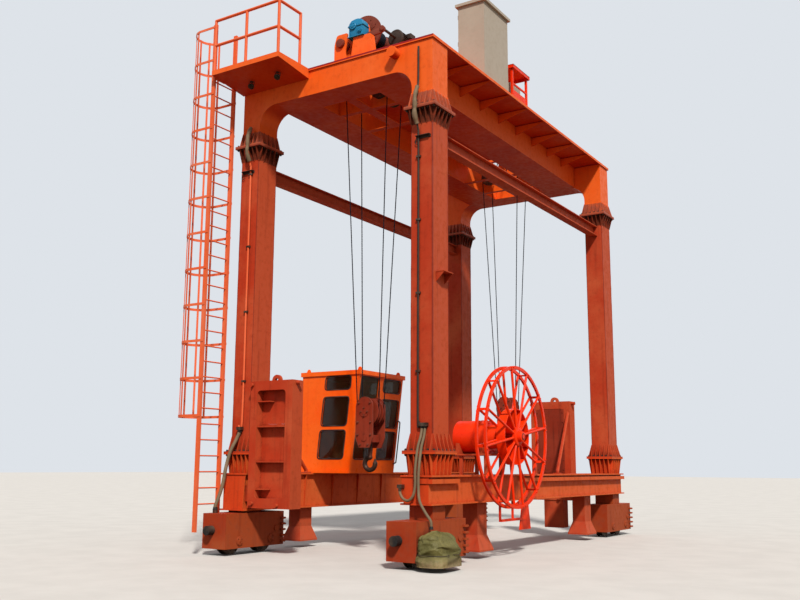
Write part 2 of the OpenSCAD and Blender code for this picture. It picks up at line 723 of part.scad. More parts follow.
// Hoists: frame, drum, gearbox and motor. At this place y = 0 is the drum's middle
drum_z = deck_z + drum_up;
drum_half = drum_len / 2;
drum_x = 140;
drum_cheek = 40;
shaft_r = 60;
bearing_y = drum_half + 60;
bearing_t = 70;
base_h = 160;
base_w = 100;
gear_y = [-drum_half - 400, -drum_half - 185];
gear_mid = (gear_y[0] + gear_y[1]) / 2;
gear_low = 230;
motor_r = 150;
motor_half = 330;
motor_gap = 40;
motor_x = drum_x + drum_flange_r + motor_r + motor_gap;
motor_z = drum_z - 120;
motor_foot = motor_z - motor_r - 20;
table_t = 30;
table_half = 130;

// Places a hoist's parts: the rear hoist is the front one turned half round
module at_hoist(rear) rotate([0, 0, rear ? 180 : 0]) translate([hoist_x, -hoist_y, 0]) children();
module hoist_frame() {
    x0 = -girder_in - hoist_x - base_w;
    x1 = motor_x + table_half;
    // Base beams along the rails and across them
    for (x = [x0, x1 - base_w])
        box([x, -bearing_y - 2 * bearing_t, deck_z],
            [x + base_w, bearing_y + 2 * bearing_t, deck_z + base_h]);
    for (side = [0, 1]) mirror([0, side, 0]) {
        box([x0, bearing_y - 20, deck_z], [x1, bearing_y + bearing_t + 20, deck_z + base_h]);
        // Bearing pedestal
        translate([drum_x, bearing_y + bearing_t / 2, 0]) difference() {
            plate_y([[-330, deck_z], [330, deck_z], [330, deck_z + base_h],
                [160, drum_z + 130], [-160, drum_z + 130], [-330, deck_z + base_h]], bearing_t);
            translate([0, 0, drum_z]) rod_y(shaft_r + seat, -bearing_t, bearing_t);
        }
        // Legs of the motor's table
        box([x1 - 2 * table_half, motor_half - 60, deck_z], [x1, motor_half - 40, motor_foot]);
    }
    box([x1 - 2 * table_half, 40 - motor_half, motor_foot - table_t], [x1, motor_half - 40, motor_foot]);
    // Arched pedestal under the gearbox
    translate([drum_x + 190, gear_mid, deck_z]) difference() {
        plate_y([[-290, 0], [290, 0], [200, drum_up - gear_low], [-200, drum_up - gear_low]], 160);
        rod_y(150, -past - 80, past + 80);
    }
    brake_brackets();
}
// Two curved plates beside the gearbox that carry the brake
brake_r = 95;
brake_w = 330;
brake_h = 760;
brake_x = drum_x - 300;
module brake_brackets() translate([brake_x, 0, deck_z]) {
    for (y = [gear_y[0] + 20, gear_y[1] - 20]) translate([0, y, 0]) difference() {
        plate_y(rounded([[-brake_w / 2, 0], [brake_w / 2, 0], [brake_w / 2 - 60, brake_h / 2],
            [brake_w / 2, brake_h], [-brake_w / 2 + 60, brake_h], [-brake_w / 2, brake_h - 200]], 50), 30);
        translate([0, 0, brake_h - 200]) rod_y(brake_r + seat, -past - 15, past + 15);
    }
    box([-brake_w / 2 + 20, gear_y[0] + 20, 0], [-brake_w / 2 + 40, gear_y[1] - 20, brake_h - 260]);
}
module hoist_frame_front() color(orange) place() at_hoist(false) hoist_frame();
module hoist_frame_rear() color(orange) place() at_hoist(true) hoist_frame();
module hoist_gearboxes() color("#1973a0") place() for (rear = [false, true]) at_hoist(rear) {
    translate([drum_x, gear_mid, drum_z]) plate_y([[-110, -gear_low], [440, -gear_low],
        [motor_x - drum_x + 110, -gear_low + 70], [motor_x - drum_x + 110, 40], [440, 230],
        [-60, 230], [-110, 180]], gear_y[1] - gear_y[0]);
    translate([brake_x, 0, deck_z + brake_h - 200]) rod_y(brake_r, gear_y[0] - 60, gear_y[1] + 20);
}
module hoist_motors() color("#3c3c3c") place() for (rear = [false, true]) at_hoist(rear)
    translate([motor_x, 0, motor_z]) {
        rod_y(motor_r, -motor_half, motor_half);
        rod_y(28, gear_y[1], 0);
        box([-110, -motor_half + 50, motor_foot - motor_z], [110, motor_half - 50, 0]);
    }
module drum() translate([drum_x, 0, drum_z]) {
    rod_y(drum_r, -drum_half, drum_half);
    for (side = [0, 1]) mirror([0, side, 0]) rod_y(drum_flange_r, drum_half - drum_cheek, drum_half);
    rod_y(shaft_r, gear_y[1] + seat, bearing_y + bearing_t);
}
module drum_front() color("#783c32") place() at_hoist(false) drum();
module drum_rear() color("#783c32") place() at_hoist(true) drum();

// A grooved rope sheave on the Y axis, its pitch radius given
sheave_bore = 20;
module sheave(pitch, half) {
    bottom = pitch - rope_d / 2 - seat;
    rim = pitch + rope_d / 2 + 6;
    groove = rope_d / 2 + 3;
    rotate([-90, 0, 0]) rotate_extrude() polygon([[sheave_bore, -half], [rim, -half],
        [rim, -groove - 7], [bottom, -groove], [bottom, groove], [rim, groove + 7], [rim, half],
        [sheave_bore, half]]);
}
module upper_sheaves() color(steel_grey) place() for (rear = [false, true]) at_hoist(rear)
    translate([fall_x - upper_r, 0, upper_z]) {
        for (y = [-fall_y, fall_y]) translate([0, y, 0]) sheave(upper_r, 36);
        rod_y(upper_axle_r, -fall_y - 60, fall_y + 60);
    }
// Bars that share the load between the two dead ends of the rope
dead_half = 40;
dead_end = fall_y + 60;
module equalizers() color(steel_grey) place() for (rear = [false, true]) at_hoist(rear)
    translate([-fall_x, 0, upper_z]) {
        box([-dead_half, -dead_end, 0], [dead_half, cross_bar_y[0] - seat, 90]);
        box([-dead_half, cross_bar_y[1] + seat, 0], [dead_half, dead_end, 90]);
        box([-dead_half, -dead_end, 130], [dead_half, dead_end, 160]);
        for (y = [-dead_end, dead_end - 20]) box([-dead_half, y, 0], [dead_half, y + 20, 160]);
    }
// The ropes from the upper sheaves to the drum, along the line that touches both
module rope_leads() color(rope_black) place() {
    a = [fall_x - upper_r, upper_z];
    b = [drum_x, drum_z];
    r_b = drum_r + rope_d / 2 + seat;
    d = b - a;
    turn = atan2(d[1], d[0]) + 90 + asin((r_b - upper_r) / norm(d));
    side = [cos(turn), sin(turn)];
    from = a + upper_r * side;
    to = b + r_b * side;
    for (rear = [false, true]) at_hoist(rear) for (y = [-fall_y, fall_y])
        bar([from[0], y, from[1]], [to[0], y, to[1]], rope_d / 2);
}

// A small roof on four posts over a winch's box
canopy_at = [leg_x - 660, -leg_y + 3340, deck_z];
canopy_size = [860, 1400, 850];
canopy_post = 50;
canopy_over = 60;
module canopy() color("#d2422a") place() translate(canopy_at) {
    for (x = [canopy_over, canopy_size[0] - canopy_over], y = [canopy_over, canopy_size[1] - canopy_over])
        translate([x, y, 0]) plate_z(canopy_post, canopy_post, 0, canopy_size[2]);
    box([0, 0, canopy_size[2]], canopy_size + [0, 0, 20]);
    box([150, 180, 0], [710, 1220, canopy_size[2] / 2]);
}

// Reel: a table off the leg's foot, the drive housing in two cradles, and the spoked wheel
cradle_t = 40;
table_x = [leg_x - 420, leg_x + sill_side + 40];
table_y = 380;
cradle_x = [leg_x - 360, leg_x + 150];
module reel_stand() color(red_oxide) place() translate([0, -reel_y, 0]) {
    box([table_x[0], -table_y, foot_z - flange_t], [table_x[1], table_y, foot_z]);
    for (x = [leg_x - 300, leg_x + 220], y = [-table_y + 40, table_y - 100])
        box([x, y, sill_top], [x + 60, y + 60, foot_z]);
    for (x = cradle_x) translate([x, 0, 0]) difference() {
        box([0, edge - table_y, foot_z - flange_t], [cradle_t, table_y - edge, reel_z - 120]);
        translate([0, 0, reel_z]) rod_x(reel_drive_r + seat, -past, cradle_t + past);
    }
}
drive_end = leg_x + sill_side + 90;
shaft_reel_r = 60;
band_t = 25;
band_out = 8;
module reel_drive() color(bright_red) place() translate([0, -reel_y, reel_z]) {
    rod_x(reel_drive_r, cradle_x[0] - 100, cradle_x[1] + cradle_t + 10);
    for (x = [leg_x - 60, leg_x + 30]) rod_x(reel_drive_r + band_out, x, x + band_t);
    rod_x(220, leg_x, drive_end);
}
module reel_shaft() color(steel_grey) place() translate([0, -reel_y, reel_z])
    rod_x(shaft_reel_r, drive_end, reel_x + reel_gap / 2 + reel_cap);
hub_r = 115;
rim_t = 40;
core_t = 12;
spoke_turn = 9;
// Spoked wheel: twin rims, a ring of round spokes to each, a core ring and plates between them
module reel_wheel() color(bright_red) place() translate([reel_x, -reel_y, reel_z]) difference() {
    union() {
        both_sides() translate([reel_gap / 2, 0, 0]) {
            difference() {
                rod_x(reel_r, -rim_t / 2, rim_t / 2);
                rod_x(reel_r - reel_rim, -rim_t, rim_t);
            }
            rod_x(hub_r + 60, -rim_t / 2, rim_t / 2);
        }
        rod_x(hub_r, -reel_gap / 2, reel_gap / 2);
        difference() {
            rod_x(reel_core_r, -reel_gap / 2, reel_gap / 2);
            rod_x(reel_core_r - core_t, -reel_gap, reel_gap);
        }
        for (i = [0 : reel_spokes - 1]) rotate([spoke_turn + i * 360 / reel_spokes, 0, 0]) {
            for (x = [-reel_gap / 2, reel_gap / 2])
                translate([x, 0, hub_r]) cylinder(d = spoke_d, h = reel_r - reel_rim / 2 - hub_r);
            box([-reel_gap / 2, -core_t / 2, 0], [reel_gap / 2, core_t / 2, reel_core_r - core_t / 2]);
            box([-reel_gap / 2, -spoke_d / 2, reel_r - reel_rim],
                [reel_gap / 2, spoke_d / 2, reel_r - reel_rim + core_t]);
        }
    }
    rod_x(shaft_reel_r + seat, -reel_gap, reel_gap);
}
// Guide plate and open tray that lead the cable down from the reel
guide_low = 430;
guide_t = 30;
tray = [620, 890];
tray_len = 1100;
module cable_guide() color(bright_red) place() translate([leg_x + 200, -leg_y + 3390, 0]) {
    top = sill_top - sill_right_h;
    plate_x([[-250, guide_low], [250, guide_low], [130, top], [-100, top]], guide_t);
    for (z = tray) box([-guide_t, -tray_len, z], [guide_t, 0, z + 45]);
    for (y = [-tray_len, -tray_len / 2]) box([-guide_t, y, tray[0]], [0, y + 50, top]);
}

// Fabric cover tied over the travel drive beside the front bogie
cover_x = leg_x + bogie_w / 2 + 5;
cover_y = [-leg_y - 1080, -leg_y - 170];
module drive_cover() color("#5a6e3c") place() hull() {
    box([cover_x, cover_y[0], 5], [cover_x + cover_w, cover_y[1], 250]);
    box([cover_x, cover_y[0] + 70, 250], [cover_x + cover_w - 90, cover_y[1] - 90, 560]);
    box([cover_x, cover_y[0] + 160, 560], [cover_x + cover_w - 210, cover_y[1] - 220, 640]);
}

// Cables that hang down the feet of the two front legs, each from a clamp to a gland
cord_r = 24;
hose_r = 34;
clamp_z = 2330;
route_left = [[2090, -4600, clamp_z - seat], [2090, -4600, 2290], [2088, -4640, 2150],
    [2080, -4725, 1950], [2080, -4800, 1600], [2085, -4810, 1350], [2050, -4812, 1180],
    [1960, -4810, 1090], [1850, -4800, 1110], [1780, -4795, 1200], [1780, -4795, 1290 - seat]];
route_right = [[2150, -4600, clamp_z - seat], [2150, -4600, 2290], [2152, -4640, 2150],
    [2150, -4725, 1950], [2150, -4800, 1600], [2150, -4810, 1300], [2200, -4850, 1080],
    [2330, -4880, 900], [2430, -4890, 780], [2445, -4890, 700], [2445, -4890, 640 + seat]];
route_hose = [[-2050, -4610, clamp_z - seat], [-2050, -4610, 2290], [-2090, -4650, 2150],
    [-2140, -4760, 1900], [-2165, -4835, 1600], [-2190, -4875, 1300], [-2225, -4940, 1050],
    [-2240, -5000, 900], [-2240, -5000, 825 + seat]];
cord_sides = 8;
cord_steps = 3;
// Points along a smooth curve through a route, a few to each stretch
function bend(a, b, c, d, s) = 0.5 * (2 * b + (c - a) * s + (2 * a - 5 * b + 4 * c - d) * s * s
    + (3 * b - a - 3 * c + d) * s * s * s);
function along(p) = let(last = len(p) - 1) concat([for (i = [0 : last - 1], k = [0 : cord_steps - 1])
    bend(p[max(i - 1, 0)], p[i], p[i + 1], p[min(i + 2, last)], k / cord_steps)], [p[last]]);
function unit(v) = v / norm(v);
// A round tube swept along a route: rings square to the path, joined by quads
module cord(route, r) {
    path = along(route);
    n = len(path);
    m = cord_sides;
    last = len(route) - 1;
    rings = [for (i = [0 : n - 1])
        let(t = unit(i == 0 ? route[1] - route[0] : i == n - 1 ? route[last] - route[last - 1]
                : path[i + 1] - path[i - 1]),
            u = unit(cross(t, [0.2, 1, 0.1])), v = cross(t, u))
        for (k = [0 : m - 1]) path[i] + r * (cos(360 * k / m) * u + sin(360 * k / m) * v)];
    sides = [for (i = [0 : n - 2], k = [0 : m - 1])
        [i * m + k, i * m + (k + 1) % m, (i + 1) * m + (k + 1) % m, (i + 1) * m + k]];
    polyhedron(rings, concat(sides,
        [[for (k = [m - 1 : -1 : 0]) k], [for (k = [0 : m - 1]) (n - 1) * m + k]]));
}
module cable_left() color("#a89c88") place() cord(route_left, cord_r);
module cable_right() color("#a89c88") place() cord(route_right, cord_r);
module hose_left() color("#96897a") place() cord(route_hose, hose_r);
clamp_h = 60;
clamp_out = 75;
gland_out = 102.5;
gland_w = 90;
gland_up = 215;
module cable_clamps() color(steel_grey) place() {
    box([leg_x - 20, -leg_face - clamp_out, clamp_z], [leg_x + 140, -leg_face, clamp_z + clamp_h]);
    box([-leg_x - 50, -leg_face - clamp_out - 10, clamp_z], [-leg_x + 70, -leg_face, clamp_z + clamp_h]);
    // Gland on the sill's end, and the one on the bogie
    translate([leg_x - 280, sill_end_in - sill_half, sill_top - gland_up])
        box([-gland_w / 2, -gland_out, 0], [gland_w / 2, 0, clamp_h]);
    translate([-leg_x - 180, -bogie_y - 630, bogie_z + bogie_h]) cylinder(r = 48, h = 825 - bogie_z - bogie_h);
}

// Hook block: cheeks, sheaves on one axle, keeper plates and a crosshead
cheek_y = 205;
cheek_low = -690;
cheek_arch = 90;
cross_head = [-580, -440];
shank_r = 38;
keeper_r = 100;
module hook_block(z) translate([0, 0, z]) {
    for (side = [0, 1]) mirror([0, side, 0]) translate([0, cheek_y, 0]) {
        plate_y([[-0.3 * cheek_w, cheek_low], [0.3 * cheek_w, cheek_low], [cheek_w / 2, cheek_low + 190],
            [cheek_w / 2, cheek_arch], [-cheek_w / 2, cheek_arch], [-cheek_w / 2, cheek_low + 190]], cheek_t);
        translate([0, 0, cheek_arch]) rod_y(cheek_w / 2, -cheek_t / 2, cheek_t / 2);
        rod_y(keeper_r, 0, cheek_t / 2 + 12);
        translate([0, 0, (cross_head[0] + cross_head[1]) / 2]) rod_y(0.6 * keeper_r, 0, cheek_t / 2 + 12);
    }
    for (side = [-1, 1]) translate([0, side * sheave_y, 0]) sheave(sheave_r, 38);
    rod_y(55, -cheek_y - 30, cheek_y + 30);
    difference() {
        box([-90, -cheek_y, cross_head[0]], [90, cheek_y, cross_head[1]]);
        translate([0, 0, cross_head[0] - past])
            cylinder(r = shank_r + seat, h = cross_head[1] - cross_head[0] + 2 * past);
    }
}
// The hook hangs by its nut on the crosshead and can swivel
hook_r = 120;
hook_thick = 45;
hook_drop = 180;
module hook(z) translate([0, 0, z]) {
    eye_z = cheek_low - hook_drop - hook_r;
    translate([0, 0, cross_head[1] + seat]) cylinder(r = 68, h = 60);
    translate([0, 0, eye_z + hook_r]) cylinder(r = shank_r, h = cross_head[1] + 30 - eye_z - hook_r);
    translate([0, 0, eye_z]) {
        rotate([90, 0, 0]) rotate([0, 0, 90]) rotate_extrude(angle = 270)
            translate([hook_r, 0]) circle(r = hook_thick);
        translate([0, 0, hook_r]) sphere(r = hook_thick + 4);
        translate([hook_r, 0, 0]) sphere(r = hook_thick + 2);
        translate([hook_r, 0, 20]) cylinder(r1 = hook_thick - 7, r2 = 16, h = 75);
    }
}
module block_front() color("#8a2c1c") place() at_hoist(false) hook_block(block_front_z);
module block_rear() color("#8a2c1c") place() at_hoist(true) hook_block(block_rear_z);
module hook_front() color(steel_grey) place() at_hoist(false) hook(block_front_z);
module hook_rear() color(steel_grey) place() at_hoist(true) hook(block_rear_z);

// Four rope falls from a block: two to the upper sheaves, two to the equalizer bar
module ropes(z) for (x = [-1, 1], y = [-1, 1])
    bar([x * sheave_r, y * sheave_y, z], [x * fall_x, y * fall_y, x < 0 ? upper_z - 2 : upper_z], rope_d / 2);
module ropes_front() color(rope_black) place() at_hoist(false) ropes(block_front_z);
module ropes_rear() color(rope_black) place() at_hoist(true) ropes(block_rear_z);

sill_left();
sill_right();
leg_front_left();
leg_front_right();
leg_rear_left();
leg_rear_right();
portal_front();
portal_rear();
girders();
deck();
hoist_floors();
tie_beams();
access_platform();
platform_railing();
ladder();
ladder_cage();
cabinet();
cabinet_roof();
cab_shell();
cab_roof();
cab_glass();
window_seals();
bogies_left();
bogies_right();
wheels();
buffers();
rail_anchors();
upright_frame_left();
upright_frame_right();
hoist_frame_front();
hoist_frame_rear();
hoist_gearboxes();
hoist_motors();
upper_sheaves();
equalizers();
rope_leads();
drum_front();
drum_rear();
canopy();
reel_stand();
reel_drive();
reel_shaft();
reel_wheel();
cable_guide();
drive_cover();
cable_clamps();
cable_left();
cable_right();
hose_left();
block_front();
hook_front();
block_rear();
hook_rear();
ropes_front();
ropes_rear();
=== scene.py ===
import json
import bmesh
import bpy
from math import copysign, cos, exp, pi, radians, sin, sqrt
from mathutils import Matrix, Vector, noise


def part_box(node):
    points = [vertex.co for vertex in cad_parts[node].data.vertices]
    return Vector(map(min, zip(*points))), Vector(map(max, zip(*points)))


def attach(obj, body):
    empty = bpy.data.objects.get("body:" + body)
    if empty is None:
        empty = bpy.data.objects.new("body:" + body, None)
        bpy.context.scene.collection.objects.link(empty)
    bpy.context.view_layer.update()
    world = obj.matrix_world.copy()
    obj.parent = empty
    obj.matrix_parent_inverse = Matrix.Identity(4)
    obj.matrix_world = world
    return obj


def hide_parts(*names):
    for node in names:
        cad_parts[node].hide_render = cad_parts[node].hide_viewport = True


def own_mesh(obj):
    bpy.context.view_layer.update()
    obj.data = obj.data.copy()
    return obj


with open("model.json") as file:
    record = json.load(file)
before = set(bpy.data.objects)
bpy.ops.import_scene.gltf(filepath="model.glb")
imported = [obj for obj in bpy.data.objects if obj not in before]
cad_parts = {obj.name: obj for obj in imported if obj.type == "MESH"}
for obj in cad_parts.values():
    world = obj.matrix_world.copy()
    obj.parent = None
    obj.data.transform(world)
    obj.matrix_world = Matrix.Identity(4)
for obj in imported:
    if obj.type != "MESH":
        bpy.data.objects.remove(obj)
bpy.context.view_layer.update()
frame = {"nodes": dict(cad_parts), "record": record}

# The crane's own middle lies at this place in the frame, in metres
MIDDLE = Vector((0.09125, 0.0875, 0.0))

# To the crane's right, to its back and up
RIGHT = Vector((1, 0, 0))
BACK = Vector((0, 1, 0))
UP = Vector((0, 0, 1))

# The four pairs of signs, for things at the corners of something
CORNERS = ((-1, -1), (-1, 1), (1, -1), (1, 1))

# The crane's main sizes, as in the solids
LEG_X = 2.06
LEG_Y = 4.29
LEG_W = 0.445
LEG_D = 0.55
FLANGE_OUT = 0.108
FLANGE_T = 0.03
FOOT_Z = 1.89
SPLICE_Z = 8.11
DECK_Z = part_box("deck")[1][2]
SILL_TOP = 1.505
HOIST = Vector((0.08, -3.22, 0.0))
BLOCK_Z = {"front": 2.69, "rear": 3.12}
DRUM = Vector((0.14, 0.0, DECK_Z + 0.86))
DRUM_R = 0.2
REEL = Vector((2.72, -2.35, 2.21))
REEL_R = 1.32
REEL_GAP = 0.18
REEL_SPOKES = 12
REEL_TURN = radians(9)


def at(x, y, z):
    """A point given from the crane's middle, in the frame."""
    return Vector((x, y, z)) + MIDDLE


def at_hoist(which, x, y, z):
    """A point given from a hoist's middle. The rear hoist is the front one turned half round."""
    p = Vector((x, y, z)) + HOIST
    return at(p.x, p.y, p.z) if which == "front" else at(-p.x, -p.y, p.z)


def add_object(name, data):
    """A new object in the scene."""
    made = bpy.data.objects.new(name, data)
    bpy.context.scene.collection.objects.link(made)
    return made


# Camera, at the place and angle of the photograph
camera = add_object("camera", bpy.data.cameras.new("camera"))
camera.data.sensor_width = 36.0
camera.data.lens = 41.5
camera.data.clip_end = 400.0
turn = (Matrix.Rotation(radians(32.56), 4, "Z") @ Matrix.Rotation(radians(100.2), 4, "X")
        @ Matrix.Rotation(radians(0.33), 4, "Z"))
camera.matrix_world = Matrix.Translation(at(10.322, -18.213, 1.659)) @ turn
bpy.context.scene.camera = camera


# Mesh helpers

def piece(name, bm, slot, body="gantry", material=None, smooth=True):
    """Turns a bmesh into a piece on a body, in its slot's material unless another is given."""
    mesh = bpy.data.meshes.new(name)
    bmesh.ops.recalc_face_normals(bm, faces=bm.faces)
    for face in bm.faces:
        face.smooth = smooth
    bm.to_mesh(mesh)
    bm.free()
    made = add_object(name, mesh)
    mesh.materials.append(material or MATERIALS[slot])
    if smooth:
        mesh.set_sharp_from_angle(angle=radians(35))
    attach(made, body)
    return made


def frame_along(direction):
    """Two unit vectors square to a direction and to each other."""
    d = direction.normalized()
    u = d.cross(UP if abs(d.z) < 0.9 else RIGHT).normalized()
    return u, d.cross(u).normalized()


def line(a, b, step):
    """Points along a straight line, about a step apart."""
    count = max(2, int((b - a).length / step))
    return [a.lerp(b, i / count) for i in range(count + 1)]


def smooth_path(points, steps):
    """Points along a smooth curve through the given ones."""
    out = []
    last = len(points) - 1
    for i in range(last):
        a, b = points[max(i - 1, 0)], points[i]
        c, d = points[i + 1], points[min(i + 2, last)]
        for k in range(steps):
            s = k / steps
            out.append(0.5 * (2 * b + (c - a) * s + (2 * a - 5 * b + 4 * c - d) * s * s
                              + (3 * b - a - 3 * c + d) * s ** 3))
    return out + [points[last]]


def ring_points(centre, u, v, radius, count, start=0.0):
    """Points round a circle in the plane of two directions, the first a part of a step round."""
    angles = (2 * pi * (k + start) / count for k in range(count))
    return [centre + radius * (cos(a) * u + sin(a) * v) for a in angles]


def skin(bm, rings):
    """The faces between rings of points, each joined to the next."""
    for a, b in zip(rings, rings[1:]):
        for k in range(len(a)):
            after = (k + 1) % len(a)
            bm.faces.new((a[k], a[after], b[after], b[k]))


def close_ends(bm, rings):
    """A face on the first ring and one on the last."""
    bm.faces.new(rings[0][::-1])
    bm.faces.new(rings[-1])


def add_tube(bm, path, radius, sides=12, lobes=0, lay=0.2, closed=False):
    """Sweeps a round section along a path. With lobes it is a rope's, turned once in each lay."""
    rings = []
    length = 0.0
    u = frame_along(path[1] - path[0])[0]
    for i, p in enumerate(path):
        before = path[i - 1] if i or closed else p
        after = path[(i + 1) % len(path)] if i < len(path) - 1 or closed else p
        d = (after - before).normalized()
        u = (u - d * u.dot(d)).normalized()
        v = d.cross(u)
        if i:
            length += (p - path[i - 1]).length
        spin = 2 * pi * length / lay if lobes else 0.0
        ring = []
        for k in range(sides):
            angle = 2 * pi * k / sides
            r = radius(i) if callable(radius) else radius
            if lobes:
                r *= 0.9 + 0.1 * abs(cos(lobes * angle / 2))
            way = cos(angle + spin) * u + sin(angle + spin) * v
            ring.append(bm.verts.new(p + r * way))
        rings.append(ring)
    skin(bm, rings + rings[:1] if closed else rings)
    if not closed:
        close_ends(bm, rings)


def add_lathe(bm, origin, axis, profile, sides=24):
    """Turns a profile of (distance along the axis, radius) round the axis."""
    u, v = frame_along(axis)
    d = axis.normalized()
    rings = [[bm.verts.new(p) for p in ring_points(origin + d * along, u, v, max(r, 0.0005), sides)]
             for along, r in profile]
    skin(bm, rings)
    close_ends(bm, rings)


def add_slab(bm, low, high, bevel=0.004):
    """A plate with bevelled edges."""
    made = bmesh.ops.create_cube(bm, size=1.0)
    size = Vector(high) - Vector(low)
    centre = (Vector(high) + Vector(low)) / 2
    for vert in made["verts"]:
        vert.co = vert.co * size + centre
    edges = list({e for vert in made["verts"] for e in vert.link_edges})
    bmesh.ops.bevel(bm, geom=edges, offset=min(bevel, 0.3 * min(size)), segments=1, affect="EDGES")


def add_prism(bm, outline, thick, bevel):
    """A thick plate: outline points on one face, and the way to the other face."""
    near = [bm.verts.new(p) for p in outline]
    far = [bm.verts.new(p + thick) for p in outline]
    caps = [bm.faces.new(near[::-1]), bm.faces.new(far)]
    skin(bm, [near, far])
    rim = list({e for f in caps for e in f.edges})
    bmesh.ops.bevel(bm, geom=rim, offset=bevel, segments=2, profile=0.5, affect="EDGES")


def add_bolt(bm, point, axis, across):
    """A hexagon bolt head on a washer, with chamfered corners and the end of its shank."""
    r = across / sqrt(3)
    add_lathe(bm, point, axis, [(0, r * 1.25), (0.12 * across, r * 1.25)], sides=12)
    add_lathe(bm, point, axis, [(0.12 * across, r), (0.66 * across, r), (0.74 * across, 0.86 * r)],
              sides=6)
    add_lathe(bm, point, axis, [(0.7 * across, 0.5 * r), (1.0 * across, 0.5 * r)], sides=8)


def add_bolt_ring(bm, centre, u, v, radius, count, axis, across, start=0.0):
    """A ring of bolts with their heads along an axis."""
    for point in ring_points(centre, u, v, radius, count, start):
        add_bolt(bm, point, axis, across)


# Materials

def linear(*rgb):
    """A colour given as 0 to 255, as the shader wants it."""
    return [(c / 255 / 12.92 if c < 11 else ((c / 255 + 0.055) / 1.055) ** 2.4)
            for c in rgb] + [1.0]


class Shader:
    """A material's node tree with a short way to add and link nodes."""

    def __init__(self, name):
        self.material = bpy.data.materials.new(name)
        self.material.use_nodes = True
        self.tree = self.material.node_tree
        self.out = self.tree.nodes["Principled BSDF"]
        self.place = self.add("TexCoord").outputs["Object"]

    def add(self, kind, inputs=(), **settings):
        """A new node with its settings, and its inputs linked or filled in."""
        node = self.tree.nodes.new("ShaderNode" + kind)
        for key, value in settings.items():
            setattr(node, key, value)
        for key, value in dict(inputs).items():
            self.set(node.inputs[key], value)
        return node

    def set(self, socket, value):
        """Links an input to an output, or gives it a value."""
        if isinstance(value, bpy.types.NodeSocket):
            self.tree.links.new(value, socket)
        else:
            socket.default_value = value

    def noise(self, scale, detail=4.0, rough=0.55, stretch=(1, 1, 1)):
        """Noise from 0 to 1, stretched along the axes if wanted."""
        place = self.add("Mapping", {"Vector": self.place, "Scale": stretch})
        return self.add("TexNoise", {
            "Vector": place.outputs["Vector"], "Scale": scale, "Detail": detail,
            "Roughness": rough}).outputs["Fac"]

    def ranged(self, value, low, high, to_low=0.0, to_high=1.0):
        """A value brought smoothly from one range to another."""
        return self.add("MapRange", {
            "Value": value, "From Min": low, "From Max": high, "To Min": to_low,
            "To Max": to_high}, interpolation_type="SMOOTHSTEP").outputs["Result"]

    def mix(self, share, a, b):
        """Two colours mixed, with a share of the second."""
        node = self.add("Mix", data_type="RGBA")
        self.set(node.inputs["Factor"], share)
        colours = [s for s in node.inputs if s.type == "RGBA"]
        self.set(colours[0], a)
        self.set(colours[1], b)
        return [s for s in node.outputs if s.type == "RGBA"][0]

    def math(self, what, a, b):
        """A sum, product or maximum of two values."""
        return self.add("Math", {0: a, 1: b}, operation=what).outputs[0]

    def times(self, a, b):
        """The product of two values."""
        return self.math("MULTIPLY", a, b)

    def along(self, axis):
        """A point's place along an axis of the frame."""
        return self.add("SeparateXYZ", {0: self.place}).outputs[axis]

    def normal(self):
        """The surface's direction."""
        return self.add("NewGeometry").outputs["Normal"]

    def facing(self, axis):
        """How far the surface faces along an axis of the frame."""
        return self.add("SeparateXYZ", {0: self.normal()}).outputs[axis]

    def edges(self, radius):
        """1 along sharp edges, 0 on flat faces."""
        bevel = self.add("Bevel", {"Radius": radius}, samples=4)
        dot = self.add("VectorMath", {0: bevel.outputs["Normal"], 1: self.normal()},
                       operation="DOT_PRODUCT")
        return self.ranged(dot.outputs["Value"], 0.78, 0.99, 1.0, 0.0)

    def corners(self, distance):
        """1 deep in corners, 0 on open faces, from ambient occlusion: a mask for painted shade."""
        node = self.add("AmbientOcclusion", {"Distance": distance}, samples=4,
                        only_local=False)
        return self.ranged(node.outputs["AO"], 0.25, 0.8, 1.0, 0.0)

    def bump(self, value, strength, distance=0.004):
        """Raises the surface by a value."""
        node = self.add("Bump", {"Strength": strength, "Distance": distance,
                                           "Height": value})
        self.set(self.out.inputs["Normal"], node.outputs["Normal"])

    def finish(self, colour, rough, metallic=0.0, specular=0.5):
        """The finished material."""
        self.set(self.out.inputs["Base Color"], colour)
        self.set(self.out.inputs["Roughness"], rough)
        self.out.inputs["Metallic"].default_value = metallic
        self.out.inputs["Specular IOR Level"].default_value = specular
        return self.material


RUST = linear(92, 44, 24)
DUST = linear(176, 140, 112)


